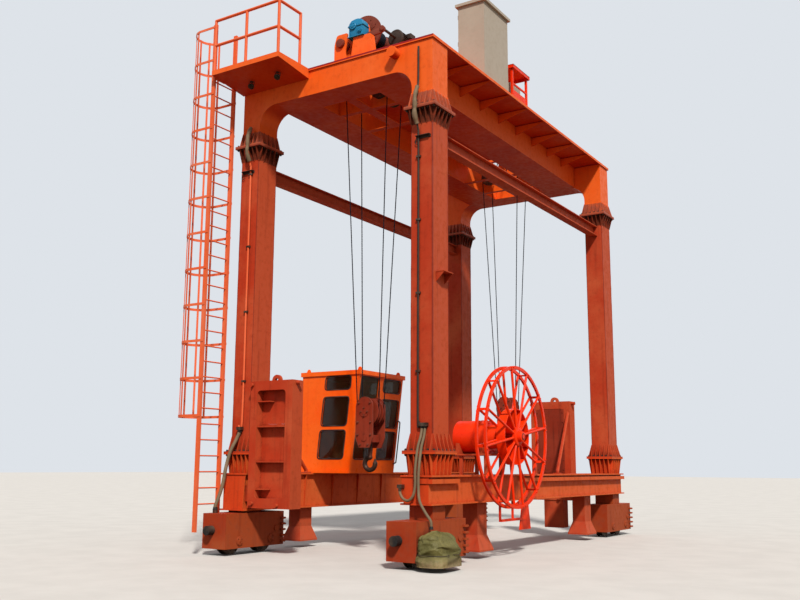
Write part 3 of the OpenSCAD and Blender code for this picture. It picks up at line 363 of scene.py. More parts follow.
def paint(name, base, faded, dark, rust=0.3, streaks=0.2, rough=0.5, bands=(), dusty=0.0,
          trim=None, under=None):
    """Site paint: faded at random, paler on faces towards the sun as painted light, streaked by
    rain, darker in corners as painted shade, worn at edges.
    """
    base, faded, dark = (linear(*shade) for shade in (base, faded, dark))
    s = Shader(name)
    broad = s.noise(0.7, 5, 0.6)
    fine = s.noise(9.0, 6, 0.65)
    # Painted light: faces turned towards the sun (+X) are made paler
    painted_sun_side = s.ranged(s.facing("X"), 0.4, 0.9, 0.0, 0.55)
    colour = s.mix(s.math("MAXIMUM", s.ranged(broad, 0.38, 0.72, 0.0, 0.8), painted_sun_side), base, faded)
    colour = s.mix(s.ranged(fine, 0.48, 0.78, 0.0, 0.3), colour, dark)
    run = s.noise(5.0, 5, 0.6, stretch=(1.6, 1.6, 0.09))
    colour = s.mix(s.ranged(run, 0.52, 0.74, 0.0, streaks), colour, dark)
    # Painted shade: darker in corners and hollows by ambient occlusion, patchy by noise
    corner_shade = s.times(s.corners(0.12), s.ranged(fine, 0.3, 0.6, 0.35, 0.75))
    colour = s.mix(corner_shade, colour, dark)
    if under:
        # Painted shade: faces turned down take a darker, redder colour
        share = s.ranged(s.facing("Z"), -0.9, -0.5, 1.0, 0.0)
        share = s.times(share, s.ranged(broad, 0.35, 0.65, 1.0, 0.75))
        colour = s.mix(share, colour, linear(*under))
    for low, high, shade, share in bands:
        # Another paint, between two heights
        up = s.ranged(s.along("Z"), low - 0.012, low + 0.012)
        down = s.ranged(s.along("Z"), high - 0.012, high + 0.012, 1.0, 0.0)
        patchy = s.ranged(fine, 0.25, 0.62, 0.6 * share, share)
        colour = s.mix(s.times(s.times(up, down), patchy), colour, linear(*shade))
    if trim:
        # A painted edge on the front, between two heights
        low, high, shade = trim
        above = s.ranged(s.along("Z"), low - 0.004, low + 0.004)
        below = s.ranged(s.along("Z"), high + 0.001, high + 0.006, 1.0, 0.0)
        front = s.times(s.ranged(s.facing("Y"), -0.9, -0.6, 1.0, 0.0),
                        s.ranged(s.along("Y"), -4.9, -4.8))
        colour = s.mix(s.times(s.times(above, below), front), colour, linear(*shade))
    chips = s.noise(42.0, 3, 0.6)
    patches = s.noise(2.6, 6, 0.7)
    spots = s.times(s.ranged(chips, 0.62, 0.68), s.ranged(patches, 0.5, 0.68))
    colour = s.mix(s.times(spots, rust), colour, RUST)
    worn = s.times(s.edges(0.007), s.ranged(s.noise(16.0, 5, 0.7), 0.46, 0.6, 0.0, 0.55))
    colour = s.mix(worn, colour, faded)
    if dusty:
        # Dust near the ground
        low = s.ranged(s.along("Z"), 0.1, 1.3, dusty, 0.0)
        colour = s.mix(s.times(low, s.ranged(fine, 0.35, 0.65, 0.2, 1.0)), colour, DUST)
    lumps = s.math("ADD", s.times(fine, 0.4), s.times(spots, -1.0))
    s.bump(s.math("ADD", lumps, s.times(s.noise(1.7, 3, 0.5), 1.2)), 0.35)
    return s.finish(colour, s.ranged(fine, 0.3, 0.7, rough - 0.1, rough + 0.15), specular=0.18)


def worn_metal(name, base, dark, rough=0.45, metallic=0.8, rust=0.5):
    """Bare or greasy steel with dark and rusty patches."""
    s = Shader(name)
    base, dark = linear(*base), linear(*dark)
    fine = s.noise(14.0, 6, 0.7)
    patches = s.noise(3.5, 5, 0.6)
    colour = s.mix(s.ranged(fine, 0.35, 0.7), base, dark)
    colour = s.mix(s.ranged(patches, 0.52, 0.7, 0.0, rust), colour, RUST)
    s.bump(fine, 0.3, 0.003)
    return s.finish(colour, s.ranged(fine, 0.3, 0.7, rough - 0.1, rough + 0.2), metallic)


def rubber(name, base, dusty):
    """Dull rubber or sheath with dust on it."""
    s = Shader(name)
    fine = s.noise(60.0, 4, 0.6)
    colour = s.mix(s.ranged(s.noise(4.0), 0.4, 0.75, 0.0, dusty), linear(*base), DUST)
    s.bump(fine, 0.2, 0.002)
    return s.finish(colour, s.ranged(fine, 0.3, 0.7, 0.6, 0.8), specular=0.3)


def glass(name):
    """Dark, smeared glass."""
    s = Shader(name)
    smear = s.noise(3.0, 5, 0.6, stretch=(1, 1, 0.5))
    colour = s.mix(s.ranged(smear, 0.45, 0.8, 0.0, 0.3), linear(30, 24, 12), linear(92, 84, 52))
    s.out.inputs["Alpha"].default_value = 0.6
    return s.finish(colour, s.ranged(smear, 0.3, 0.8, 0.05, 0.22))


def tarpaulin(name):
    """Coated cloth: a fine weave, paler patches and dried mud."""
    s = Shader(name)
    broad = s.noise(3.0, 5, 0.6)
    fine = s.noise(34.0, 5, 0.65)
    colour = s.mix(s.ranged(broad, 0.35, 0.7), linear(84, 80, 34), linear(118, 110, 60))
    colour = s.mix(s.ranged(fine, 0.5, 0.78, 0.0, 0.5), colour, linear(50, 48, 24))
    low = s.ranged(s.along("Z"), 0.0, 0.3, 0.55, 0.0)
    colour = s.mix(s.times(low, s.ranged(fine, 0.3, 0.6)), colour, DUST)
    wave = s.add("TexWave", {"Vector": s.place, "Scale": 120.0}, wave_type="BANDS",
                 bands_direction="DIAGONAL")
    s.bump(s.math("ADD", s.times(wave.outputs["Fac"], 0.3), fine), 0.4)
    return s.finish(colour, s.ranged(fine, 0.3, 0.7, 0.55, 0.8))


# Bands of other paint at the legs' joints, and the deck's painted edge
LEG_BANDS = [(7.80, 8.082, (62, 32, 20), 0.85), (8.082, 8.2, (132, 66, 50), 0.9)]
HEAD_BANDS = [(8.0, 8.405, (158, 82, 62), 0.95)]
RIM_TRIM = (DECK_Z - 0.035, DECK_Z, (150, 28, 34))
OXIDE = {"rust": 0.6, "streaks": 0.35, "rough": 0.6}
MATERIALS = {
    "red_oxide_paint": paint("red_oxide_paint", (178, 54, 24), (198, 94, 56), (110, 32, 14),
                             bands=LEG_BANDS, dusty=0.07, **OXIDE),
    # The orange paint's under colour is painted shade on its undersides
    "orange_paint": paint("orange_paint", (238, 92, 20), (244, 112, 48), (178, 50, 8),
                          streaks=0.16, rough=0.45, bands=HEAD_BANDS, trim=RIM_TRIM,
                          under=(182, 38, 3)),
    "salmon_paint": paint("salmon_paint", (230, 96, 48), (234, 122, 84), (184, 66, 30), rust=0.4,
                          dusty=0.1),
    "cab_paint": paint("cab_paint", (255, 88, 6), (255, 112, 30), (206, 54, 4), rust=0.15,
                       streaks=0.15, rough=0.34),
    "bright_red_paint": paint("bright_red_paint", (238, 44, 3), (246, 66, 14), (188, 28, 2),
                              rust=0.2, streaks=0.12, rough=0.35),
    "grey_sheet": paint("grey_sheet", (172, 158, 142), (182, 172, 156), (150, 138, 124),
                        rust=0.12, streaks=0.1),
    "worn_steel": worn_metal("worn_steel", (104, 88, 76), (56, 42, 34)),
    "rope_wire": worn_metal("rope_wire", (26, 26, 38), (12, 11, 16), rough=0.5, rust=0.1),
    "brown_steel": paint("brown_steel", (118, 50, 36), (134, 70, 54), (72, 28, 18), rust=0.6,
                         streaks=0.3, rough=0.6),
    "cab_glass": glass("cab_glass"),
    "black_rubber": rubber("black_rubber", (30, 28, 28), 0.2),
    "blue_paint": paint("blue_paint", (16, 116, 166), (44, 138, 180), (8, 74, 112), rust=0.2,
                        rough=0.4),
    "dark_paint": paint("dark_paint", (52, 42, 38), (80, 68, 60), (30, 22, 18), rust=0.4),
    "cover_fabric": tarpaulin("cover_fabric"),
    "cable_sheath": rubber("cable_sheath", (112, 95, 72), 0.3),
}
HOOK_STEEL = worn_metal("hook_steel", (74, 50, 38), (38, 24, 18), rough=0.55, metallic=0.5,
                        rust=0.6)
# The hook blocks are greasier and darker than the frame in the same paint
BLOCK_PAINT = paint("block_paint", (132, 40, 20), (150, 62, 42), (64, 22, 12), rust=0.8,
                    streaks=0.5)
# The legs' paint is paler on the sills, partly faded and partly painted light against the cab's
# shadow on the left sill, and darker on the bogies as painted shade
FADED_AND_LIT_SILL_PAINT = paint("faded_and_lit_sill_paint", (203, 64, 22), (221, 110, 54), (128, 39, 14), **OXIDE)
SHADED_BOGIE_PAINT = paint("shaded_bogie_paint", (154, 48, 15), (170, 80, 38), (94, 26, 9), dusty=0.07, **OXIDE)
# Nodes with a material of their own, by the first word of their names
OWN_MATERIALS = {"block": BLOCK_PAINT, "hook": HOOK_STEEL, "sill": FADED_AND_LIT_SILL_PAINT,
                 "bogies": SHADED_BOGIE_PAINT}
for row in frame["record"]["subparts"]:
    node = frame["nodes"].get(row["node"])
    if node is None:
        continue
    kind = row["node"].split("_")[0]
    node_material = OWN_MATERIALS.get(kind, MATERIALS[row["material_slot"]])
    if not node.material_slots:
        node.data.materials.append(node_material)
    for place in node.material_slots:
        place.material = node_material


# Cables down the feet of the front legs, along the solids' own routes

CORD_R = 0.024
HOSE_R = 0.034
CABLES = {
    "cable_left": (CORD_R, [
        (2.09, -4.6, 2.3297), (2.09, -4.6, 2.29), (2.088, -4.64, 2.15),
        (2.08, -4.725, 1.95), (2.08, -4.8, 1.6), (2.085, -4.81, 1.35),
        (2.05, -4.812, 1.18), (1.96, -4.81, 1.09), (1.85, -4.8, 1.11),
        (1.78, -4.795, 1.2), (1.78, -4.795, 1.2897)]),
    "cable_right": (CORD_R, [
        (2.15, -4.6, 2.3297), (2.15, -4.6, 2.29), (2.152, -4.64, 2.15),
        (2.15, -4.725, 1.95), (2.15, -4.8, 1.6), (2.15, -4.81, 1.3),
        (2.2, -4.85, 1.08), (2.33, -4.88, 0.9), (2.43, -4.89, 0.78),
        (2.445, -4.89, 0.7), (2.445, -4.89, 0.6403)]),
    "hose_left": (HOSE_R, [
        (-2.05, -4.61, 2.3297), (-2.05, -4.61, 2.29), (-2.09, -4.65, 2.15),
        (-2.14, -4.76, 1.9), (-2.165, -4.835, 1.6), (-2.19, -4.875, 1.3),
        (-2.225, -4.94, 1.05), (-2.24, -5.0, 0.9), (-2.24, -5.0, 0.8253)]),
}


def cable(name, radius, route):
    """A cable or hose as a ribbed mesh tube on its smooth route, with a boot at each end."""
    path = smooth_path([at(*p) for p in route], 12)
    bm = bmesh.new()
    add_tube(bm, path, lambda i: radius * (0.97 if i % 2 else 1.0), sides=14)
    made = piece(name + "_run", bm, "cable_sheath")
    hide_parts(name)
    boots = bmesh.new()
    for end, inner in ((path[0], path[3]), (path[-1], path[-4])):
        add_lathe(boots, end, inner - end,
                  [(0.0, radius * 1.45), (0.012, radius * 1.45), (0.02, radius * 1.3),
                   (0.045, radius * 1.12), (0.05, radius * 1.06)], sides=20)
    piece(name + "_run_boots", boots, "black_rubber")


for cable_name, (cable_r, cable_route) in CABLES.items():
    cable(cable_name, cable_r, cable_route)


# Ropes: four falls to each block, wraps on its sheaves and the turns on each drum

ROPE_R = 0.012
SHEAVE_R = 0.25
SHEAVE_Y = 0.085
FALL_X = 0.51
FALL_Y = 0.275
ROPE_TOP = 9.23
ROPE_TURNS = 15


def falls(which):
    """Four straight falls of rope from a block's sheaves up to the upper sheaves, with a mesh of
    their own.
    """
    bm = bmesh.new()
    for x, y in CORNERS:
        top = at_hoist(which, x * FALL_X, y * FALL_Y, ROPE_TOP)
        low = at_hoist(which, x * SHEAVE_R, y * SHEAVE_Y, BLOCK_Z[which])
        add_tube(bm, line(low, top, 0.05), ROPE_R, sides=12, lobes=6)
    made = piece("falls_" + which, bm, "rope_wire")
    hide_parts("ropes_" + which)
    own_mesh(made)


def wraps(which):
    """Where the rope lies in the grooves of the block's sheaves."""
    bm = bmesh.new()
    for y in (-1, 1):
        path = [at_hoist(which, -SHEAVE_R * cos(a), y * SHEAVE_Y,
                         BLOCK_Z[which] - SHEAVE_R * sin(a))
                for a in (pi * i / 24 for i in range(25))]
        add_tube(bm, path, ROPE_R - 0.001, sides=12, lobes=6)
    piece("wraps_" + which, bm, "rope_wire", "block_" + which)


def windings(which):
    """Turns of rope side by side on each half of a drum."""
    bm = bmesh.new()
    r = DRUM_R + ROPE_R
    pitch = 2 * ROPE_R * 1.08
    steps = 20
    for side in (-1, 1):
        path = []
        for i in range(ROPE_TURNS * steps + 1):
            a = 2 * pi * i / steps
            along = side * (0.11 + pitch * i / steps)
            path.append(at_hoist(which, DRUM.x + r * cos(a), along, DRUM.z + r * sin(a)))
        add_tube(bm, path, ROPE_R - 0.0005, sides=8)
    piece("windings_" + which, bm, "rope_wire", "drum_" + which)


for hoist_name in ("front", "rear"):
    falls(hoist_name)
    wraps(hoist_name)
    windings(hoist_name)


# Bolts of the flanged joints, with heads above and nuts below

BOLT_OUT = 0.062
BOLT_ACROSS = 0.036
STIFFENER_T = 0.016


def joint_bolts(name, x, y, z_low, z_high):
    """Bolts in the bays between the stiffeners, on both sides of a pair of flanges."""
    bm = bmesh.new()
    out_x = LEG_W / 2 + BOLT_OUT
    out_y = LEG_D / 2 + BOLT_OUT
    spots = []
    for k in (-1.5, -0.5, 0.5, 1.5):
        for side in (-1, 1):
            spots.append((k * (LEG_W - STIFFENER_T) / 4, side * out_y))
            spots.append((side * out_x, k * (LEG_D - STIFFENER_T) / 4))
    spots += [(sx * out_x, sy * out_y) for sx, sy in CORNERS]
    for dx, dy in spots:
        add_bolt(bm, at(x + dx, y + dy, z_high), UP, BOLT_ACROSS)
        add_bolt(bm, at(x + dx, y + dy, z_low), -UP, BOLT_ACROSS)
    piece(name, bm, "dark_paint", smooth=False)


for leg_i, (leg_side, leg_end) in enumerate(((-1, -1), (1, -1), (-1, 1), (1, 1))):
    for joint, joint_z in (("foot", FOOT_Z), ("head", SPLICE_Z)):
        joint_bolts("%s_bolts_%d" % (joint, leg_i), leg_side * LEG_X, leg_end * LEG_Y,
                    joint_z - FLANGE_T, joint_z + FLANGE_T)


# Conduits clipped to the front legs, with sleeves where they pass the joints

LEG_FACE = -LEG_Y - LEG_D / 2
PASS = LEG_FACE - FLANGE_OUT - 0.03
CONDUIT_X = {"right": 2.0, "left": -2.02}
CLIP_STEP = 1.1


def conduit(name, top, foot, radius, slot):
    """A pipe down a leg's face and out round its joint, with a clip at each metre or so."""
    x = CONDUIT_X[name]
    face = LEG_FACE - 0.022
    points = top + [(x, LEG_FACE - 0.05, 8.52), (x, PASS, 8.3), (x, PASS, 8.0),
                    (x, LEG_FACE - 0.05, 7.72), (x, face, 7.4), (x, face, 5.0), (x, face, 2.5),
                    (foot, face, 2.42)]
    bm = bmesh.new()
    path = smooth_path([at(*p) for p in points], 4)
    add_tube(bm, path, radius, sides=12)
    piece("conduit_" + name, bm, slot)
    clips = bmesh.new()
    travelled = 0.0
    half = Vector((0.045, radius + 0.004, 0.02))
    for a, b in zip(path, path[1:]):
        travelled += (b - a).length
        if travelled > CLIP_STEP:
            travelled = 0.0
            mid = (a + b) / 2
            add_slab(clips, mid - half, mid + half)
    piece("conduit_%s_clips" % name, clips, "worn_steel", smooth=False)


def sleeve(name):
    """A loose fabric sleeve round a conduit, over the joint's flanges."""
    x = CONDUIT_X[name]
    bm = bmesh.new()
    path = smooth_path([at(x, LEG_FACE - 0.065, 8.50), at(x, PASS - 0.01, 8.3),
                        at(x, PASS - 0.015, 8.1), at(x - 0.01, PASS - 0.01, 7.95),
                        at(x, LEG_FACE - 0.075, 7.78)], 8)
    add_tube(bm, path, lambda i: 0.04 + 0.012 * noise.noise(Vector((0.3 * i, x, 0.5))), sides=16)
    piece("sleeve_" + name, bm, "cable_sheath")


conduit("right", [(2.0, LEG_FACE - 0.03, 9.30), (2.0, LEG_FACE - 0.03, 8.75)], 2.02, 0.018,
        "dark_paint")
conduit("left", [], -2.1, 0.02, "salmon_paint")
sleeve("right")
sleeve("left")


# Small parts of the legs and of the platform

def tower_seams():
    """Weld beads down the corners of the legs, between their stiffeners."""
    bm = bmesh.new()
    for side, end in CORNERS:
        for cx, cy in CORNERS:
            px = side * LEG_X + cx * (LEG_W / 2 - 0.002)
            py = end * LEG_Y + cy * (LEG_D / 2 - 0.002)
            bead = 0.014 if (side, end, cx, cy) == (1, -1, 1, -1) else 0.007
            add_tube(bm, line(at(px, py, 2.215), at(px, py, 7.785), 0.11),
                     lambda i: bead + 0.003 * noise.noise(Vector((i * 0.7, px, py))), sides=6)
    piece("tower_seams", bm, "brown_steel", material=BLOCK_PAINT)


def head_clamps():
    """Small brackets with a hook on the front legs, under the joints."""
    y = LEG_FACE
    for name, x, z in (("right", 1.95, 7.53), ("left", -2.24, 7.56)):
        bm = bmesh.new()
        add_slab(bm, at(x, y - 0.012, z - 0.02), at(x + 0.3, y, z + 0.035))
        add_slab(bm, at(x, y - 0.075, z + 0.02), at(x + 0.3, y, z + 0.032))
        for rib in (x + 0.01, x + 0.28):
            add_prism(bm, [at(rib, y, z - 0.02), at(rib, y - 0.07, z + 0.02), at(rib, y, z + 0.02)],
                      Vector((0.01, 0, 0)), 0.002)
        hook = [at(x + 0.02, y - 0.03, z - 0.01), at(x, y - 0.035, z - 0.06),
                at(x - 0.01, y - 0.03, z - 0.1), at(x + 0.03, y - 0.03, z - 0.125),
                at(x + 0.06, y - 0.03, z - 0.1)]
        add_tube(bm, smooth_path(hook, 5), 0.008, sides=8)
        piece("head_clamp_" + name, bm, "dark_paint")


def floodlight(name, x, y, z, hanger_top):
    """A small round floodlight on a U bracket, turned down and outwards."""
    aim = Vector((0.15, -0.62, -0.77)).normalized()
    centre = at(x, y, z)
    bm = bmesh.new()
    add_lathe(bm, centre - aim * 0.05, aim,
              [(0.0, 0.018), (0.006, 0.028), (0.018, 0.042), (0.042, 0.053), (0.072, 0.056),
               (0.075, 0.063), (0.088, 0.063), (0.09, 0.059), (0.084, 0.054)], sides=28)
    u, v = frame_along(aim)
    for rib in ring_points(centre - aim * 0.042, u, v, 0.045, 8):
        add_tube(bm, [rib, rib + aim * 0.042], 0.004, sides=6)
    arms = [centre + RIGHT * out + UP * up
            for out, up in ((0.067, 0), (0.068, 0.055), (0.05, 0.075), (-0.05, 0.075),
                            (-0.068, 0.055), (-0.067, 0))]
    add_tube(bm, smooth_path(arms, 5), 0.006, sides=8)
    top = Vector((centre.x, centre.y, hanger_top))
    add_tube(bm, [centre + UP * 0.072, top], 0.008, sides=10)
    add_lathe(bm, top, -UP, [(0, 0.035), (0.01, 0.035)], sides=16)
    piece(name, bm, "dark_paint")
    lens = bmesh.new()
    add_lathe(lens, centre + aim * 0.034, aim,
              [(0.0, 0.052), (0.005, 0.047), (0.009, 0.03), (0.010, 0.006)], sides=28)
    piece(name + "_lens", lens, "cab_glass")


# Hoists: gear cases, drives, motors, drums and blocks

CASE_Y = -0.975
CASE_INNER_Y = -0.76
ARM_Y = -0.805
MOTOR = Vector((0.725, 0.0, DRUM.z - 0.12))
DRUM_FACE = 0.575
CHEEK_FACE = 0.2165


def hoist_axes(which):
    """A hoist's own X and Y directions, in the frame."""
    turned = 1 if which == "front" else -1
    return RIGHT * turned, BACK * turned


def at_drum(which, x, y, z):
    """A point given from a drum's middle."""
    return at_hoist(which, DRUM.x + x, y, DRUM.z + z)


def add_hoist_slab(bm, which, low, high, bevel=0.004):
    """A bevelled plate given from a hoist's middle."""
    a, b = at_hoist(which, *low), at_hoist(which, *high)
    add_slab(bm, [min(a[i], b[i]) for i in range(3)], [max(a[i], b[i]) for i in range(3)], bevel)


def gear_case(bm, which):
    """A split gear case with ribs, bearing caps, bolts and a breather."""
    x, z = DRUM.x, DRUM.z
    across, along = hoist_axes(which)
    outline = [(-0.11, -0.23), (0.22, -0.23), (0.235, -0.05), (0.225, 0.07), (0.18, 0.13),
               (0.06, 0.15), (-0.05, 0.13), (-0.11, 0.06)]
    add_prism(bm, [at_drum(which, px, CASE_Y, pz) for px, pz in outline],
              along * (CASE_INNER_Y - CASE_Y), 0.012)
    # The split flange and the foot
    add_hoist_slab(bm, which, (x - 0.125, CASE_Y - 0.018, z - 0.014),
                   (x + 0.25, CASE_INNER_Y - 0.001, z + 0.010))
    add_hoist_slab(bm, which, (x - 0.13, CASE_Y - 0.02, z - 0.232),
                   (x + 0.26, CASE_INNER_Y - 0.001, z - 0.214))
    for px in (-0.085, 0.07, 0.2):
        add_hoist_slab(bm, which, (x + px, CASE_Y - 0.012, z - 0.22),
                       (x + px + 0.012, CASE_Y, z - 0.02), 0.002)
    for px, pz, r in ((0.0, 0.0, 0.075), (0.17, -0.12, 0.05)):
        add_lathe(bm, at_drum(which, px, CASE_Y, pz), -along,
                  [(0, r), (0.022, r), (0.028, 0.9 * r), (0.028, 0.45 * r), (0.04, 0.4 * r)],
                  sides=28)
        add_bolt_ring(bm, at_drum(which, px, CASE_Y - 0.026, pz), across, UP, 0.78 * r, 6,
                      -along, 0.014)
    for px in (-0.105, -0.02, 0.07, 0.15, 0.225):
        add_bolt(bm, at_drum(which, px, CASE_Y - 0.009, 0.010), UP, 0.016)
    add_lathe(bm, at_drum(which, 0.04, (CASE_Y + CASE_INNER_Y) / 2, 0.14), UP,
              [(0, 0.02), (0.03, 0.02), (0.032, 0.032), (0.05, 0.032), (0.058, 0.02)])


def drive_arm(bm, which):
    """The case of the gear train from the motor's shaft, and the brake's cylinder."""
    across, along = hoist_axes(which)
    outline = [(0.225, -0.225), (0.56, -0.205), (0.63, -0.175), (0.645, -0.12), (0.625, -0.085),
               (0.56, -0.08), (0.225, -0.12)]
    add_prism(bm, [at_drum(which, px, ARM_Y, pz) for px, pz in outline], along * 0.045, 0.006)
    add_lathe(bm, at_drum(which, 0.585, ARM_Y, -0.12), -along,
              [(0, 0.055), (0.02, 0.055), (0.026, 0.045), (0.026, 0.02)], sides=24)
    add_bolt_ring(bm, at_drum(which, 0.585, ARM_Y - 0.02, -0.12), across, UP, 0.042, 6,
                  -along, 0.012)
    r = 0.095
    add_lathe(bm, at_hoist(which, DRUM.x - 0.3, -1.035, DECK_Z + 0.56), along,
              [(0, 0.7 * r), (0.006, 0.92 * r), (0.02, r), (0.05, r), (0.055, 0.94 * r),
               (0.07, 0.94 * r), (0.075, r), (0.22, r), (0.225, 0.94 * r), (0.24, 0.94 * r),
               (0.245, r), (0.285, r), (0.295, 0.9 * r)], sides=32)


def motor(bm, which):
    """Cooling fins, end shields, fan cover and terminal box of a hoist's motor."""
    across, along = hoist_axes(which)
    for k in range(28):
        a = 2 * pi * k / 28
        if sin(a) < -0.72:
            continue
        c, d = cos(a), sin(a)
        outline = [at_hoist(which, MOTOR.x + c * q - d * w, -0.24, MOTOR.z + d * q + c * w)
                   for q, w in ((0.146, -0.003), (0.172, -0.002), (0.172, 0.002), (0.146, 0.003))]
        add_prism(bm, outline, along * 0.46, 0.001)
    for y, deep in ((-0.335, 0.06), (0.25, 0.10)):
        add_lathe(bm, at_hoist(which, MOTOR.x, y, MOTOR.z), along,
                  [(0, 0.10), (0.01, 0.15), (0.02, 0.176), (deep - 0.01, 0.176),
                   (deep, 0.165)], sides=36)
    for r in (0.045, 0.075, 0.105, 0.135):
        path = ring_points(at_hoist(which, MOTOR.x, 0.353, MOTOR.z), across, UP, r, 28)
        add_tube(bm, path, 0.003, sides=5, closed=True)
    add_hoist_slab(bm, which, (MOTOR.x + 0.12, -0.11, MOTOR.z + 0.02),
                   (MOTOR.x + 0.24, 0.07, MOTOR.z + 0.13), 0.008)


def drum_fittings(which):
    """Bolts, a rolled rim and ribs on the outer faces of a drum's flanges."""
    across, along = hoist_axes(which)
    bm = bmesh.new()
    for side in (-1, 1):
        add_bolt_ring(bm, at_drum(which, 0, side * DRUM_FACE, 0), across, UP, 0.31, 12,
                      along * side, 0.018)
        rim = ring_points(at_drum(which, 0, side * (DRUM_FACE - 0.02), 0), across, UP, 0.385, 48)
        add_tube(bm, rim, 0.0125, sides=8, closed=True)
        face = at_drum(which, 0, side * (DRUM_FACE + 0.002), 0)
        for ends in zip(*(ring_points(face, across, UP, r, 8, 0.5) for r in (0.1, 0.27))):
            add_tube(bm, ends, 0.006, sides=6)
    piece("drum_fittings_" + which, bm, "brown_steel", "drum_" + which)


def block_fittings(which):
    """Bolts and a raised edge on the outer faces of a block's cheeks."""
    across, along = hoist_axes(which)
    z = BLOCK_Z[which]
    rim = [(-0.12, -0.685), (0.12, -0.685), (0.197, -0.5), (0.197, 0.09)]
    rim += [(0.197 * cos(t), 0.09 + 0.197 * sin(t))
            for t in (pi * k / 16 for k in range(1, 16))]
    rim += [(-0.197, 0.09), (-0.197, -0.5)]
    bm = bmesh.new()
    for side in (-1, 1):
        out = along * side
        add_bolt_ring(bm, at_hoist(which, 0, side * 0.228, z), across, UP, 0.076, 4, out, 0.03)
        for px, pz in ((0.15, -0.2), (0.15, -0.44), (0.13, 0.17), (0.09, -0.63)):
            for way in (1, -1):
                add_bolt(bm, at_hoist(which, way * px, side * CHEEK_FACE, z + pz), out, 0.034)
        add_tube(bm, [at_hoist(which, px, side * CHEEK_FACE, z + pz) for px, pz in rim], 0.005,
                 sides=6, closed=True)
    piece("block_fittings_" + which, bm, "brown_steel", "block_" + which)


def hoist_details():
    """Both hoists' small parts, in pieces by body and paint."""
    cases, arms, fins = bmesh.new(), bmesh.new(), bmesh.new()
    for which in ("front", "rear"):
        gear_case(cases, which)
        drive_arm(arms, which)
        motor(fins, which)
        drum_fittings(which)
        block_fittings(which)
    made = piece("gear_cases", cases, "blue_paint")
    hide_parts("hoist_gearboxes")
    piece("gear_arms", arms, "brown_steel")
    piece("motor_fins", fins, "dark_paint")


# Reel, bogies and upright frames

def reel_details():
    """Bolts at the spokes' ends and round the hub, a hub cap, and bolts on the drive."""
    bm = bmesh.new()
    centre = at(REEL.x, REEL.y, REEL.z)
    for side in (-1, 1):
        out = RIGHT * side
        face = centre + out * (REEL_GAP / 2 + 0.0195)
        for k in range(REEL_SPOKES):
            a = REEL_TURN + 2 * pi * k / REEL_SPOKES
            way = Vector((0, -sin(a), cos(a)))
            across = Vector((0, cos(a), sin(a)))
            for q in (-0.045, 0.045):
                add_bolt(bm, face + way * (REEL_R - 0.03) + across * q, out, 0.022)
        add_bolt_ring(bm, face, BACK, UP, 0.145, 10, out, 0.026)
    add_lathe(bm, centre + RIGHT * (REEL_GAP / 2 + 0.015), RIGHT,
              [(0, 0.17), (0.02, 0.17), (0.028, 0.15), (0.03, 0.105), (0.1, 0.095),
               (0.108, 0.08), (0.108, 0.05), (0.118, 0.04)], sides=36)
    piece("reel_bolts", bm, "bright_red_paint", "reel_wheel")
    drive = bmesh.new()
    for x, out in ((1.60, -RIGHT), (LEG_X + 0.2, RIGHT)):
        add_bolt_ring(drive, at(x, REEL.y, REEL.z), BACK, UP, 0.27, 10, out, 0.024)
    piece("drive_bolts", drive, "bright_red_paint")


def bogie_details():
    """Axle caps with their keepers on the bogies' side plates, and pads on their ribs."""
    bm = bmesh.new()
    for leg_side, leg_end in CORNERS:
        x, y = leg_side * LEG_X, leg_end * (LEG_Y + 0.08)
        for step, side in CORNERS:
            if (leg_side, leg_end, side) == (1, -1, 1):
                # The covered travel drive is here
                continue
            out = RIGHT * side
            centre = at(x + side * 0.29, y + step * 0.45, 0.26)
            add_lathe(bm, centre, out, [(0, 0.085), (0.014, 0.085), (0.018, 0.08),
                                        (0.018, 0.03), (0.024, 0.02)])
            add_bolt_ring(bm, centre + out * 0.017, BACK, UP, 0.06, 4, out, 0.018, 0.5)
        for i in range(5):
            end, z = y + 0.83, 0.185 + 0.11 * i
            add_slab(bm, at(x + 0.288, end - 0.112, z - 0.012),
                     at(x + 0.352, end - 0.004, z + 0.028))
    # The axle caps take the bogies' darker paint, which is painted shade
    piece("axle_caps", bm, "red_oxide_paint", material=SHADED_BOGIE_PAINT)


def frame_backs():
    """The upper part of the upright frames' set-back webs, and the right one's front plate, dark as
    painted shade.
    """
    bm = bmesh.new()
    for x, y in ((-1.715, -4.70), (0.57, 3.20)):
        add_slab(bm, at(x + 0.164, y + 0.17, 2.432), at(x + 0.866, y + 0.19, 3.071), 0.002)
    piece("frame_backs", bm, "red_oxide_paint", smooth=False)
    plate = bmesh.new()
    front = 3.188
    add_slab(plate, at(0.725, front, 1.512), at(1.445, front + 0.0115, 3.06), 0.003)
    for k in range(7):
        for x in (0.75, 1.42):
            add_bolt(plate, at(x, front, 1.6 + 0.23 * k), -BACK, 0.024)
    # Painted shade: the front plate takes the blocks' dark paint where the frame's front lies in
    # shade
    piece("frame_front_plate_painted_shade", plate, "brown_steel", material=BLOCK_PAINT)


# On the deck and at the cab

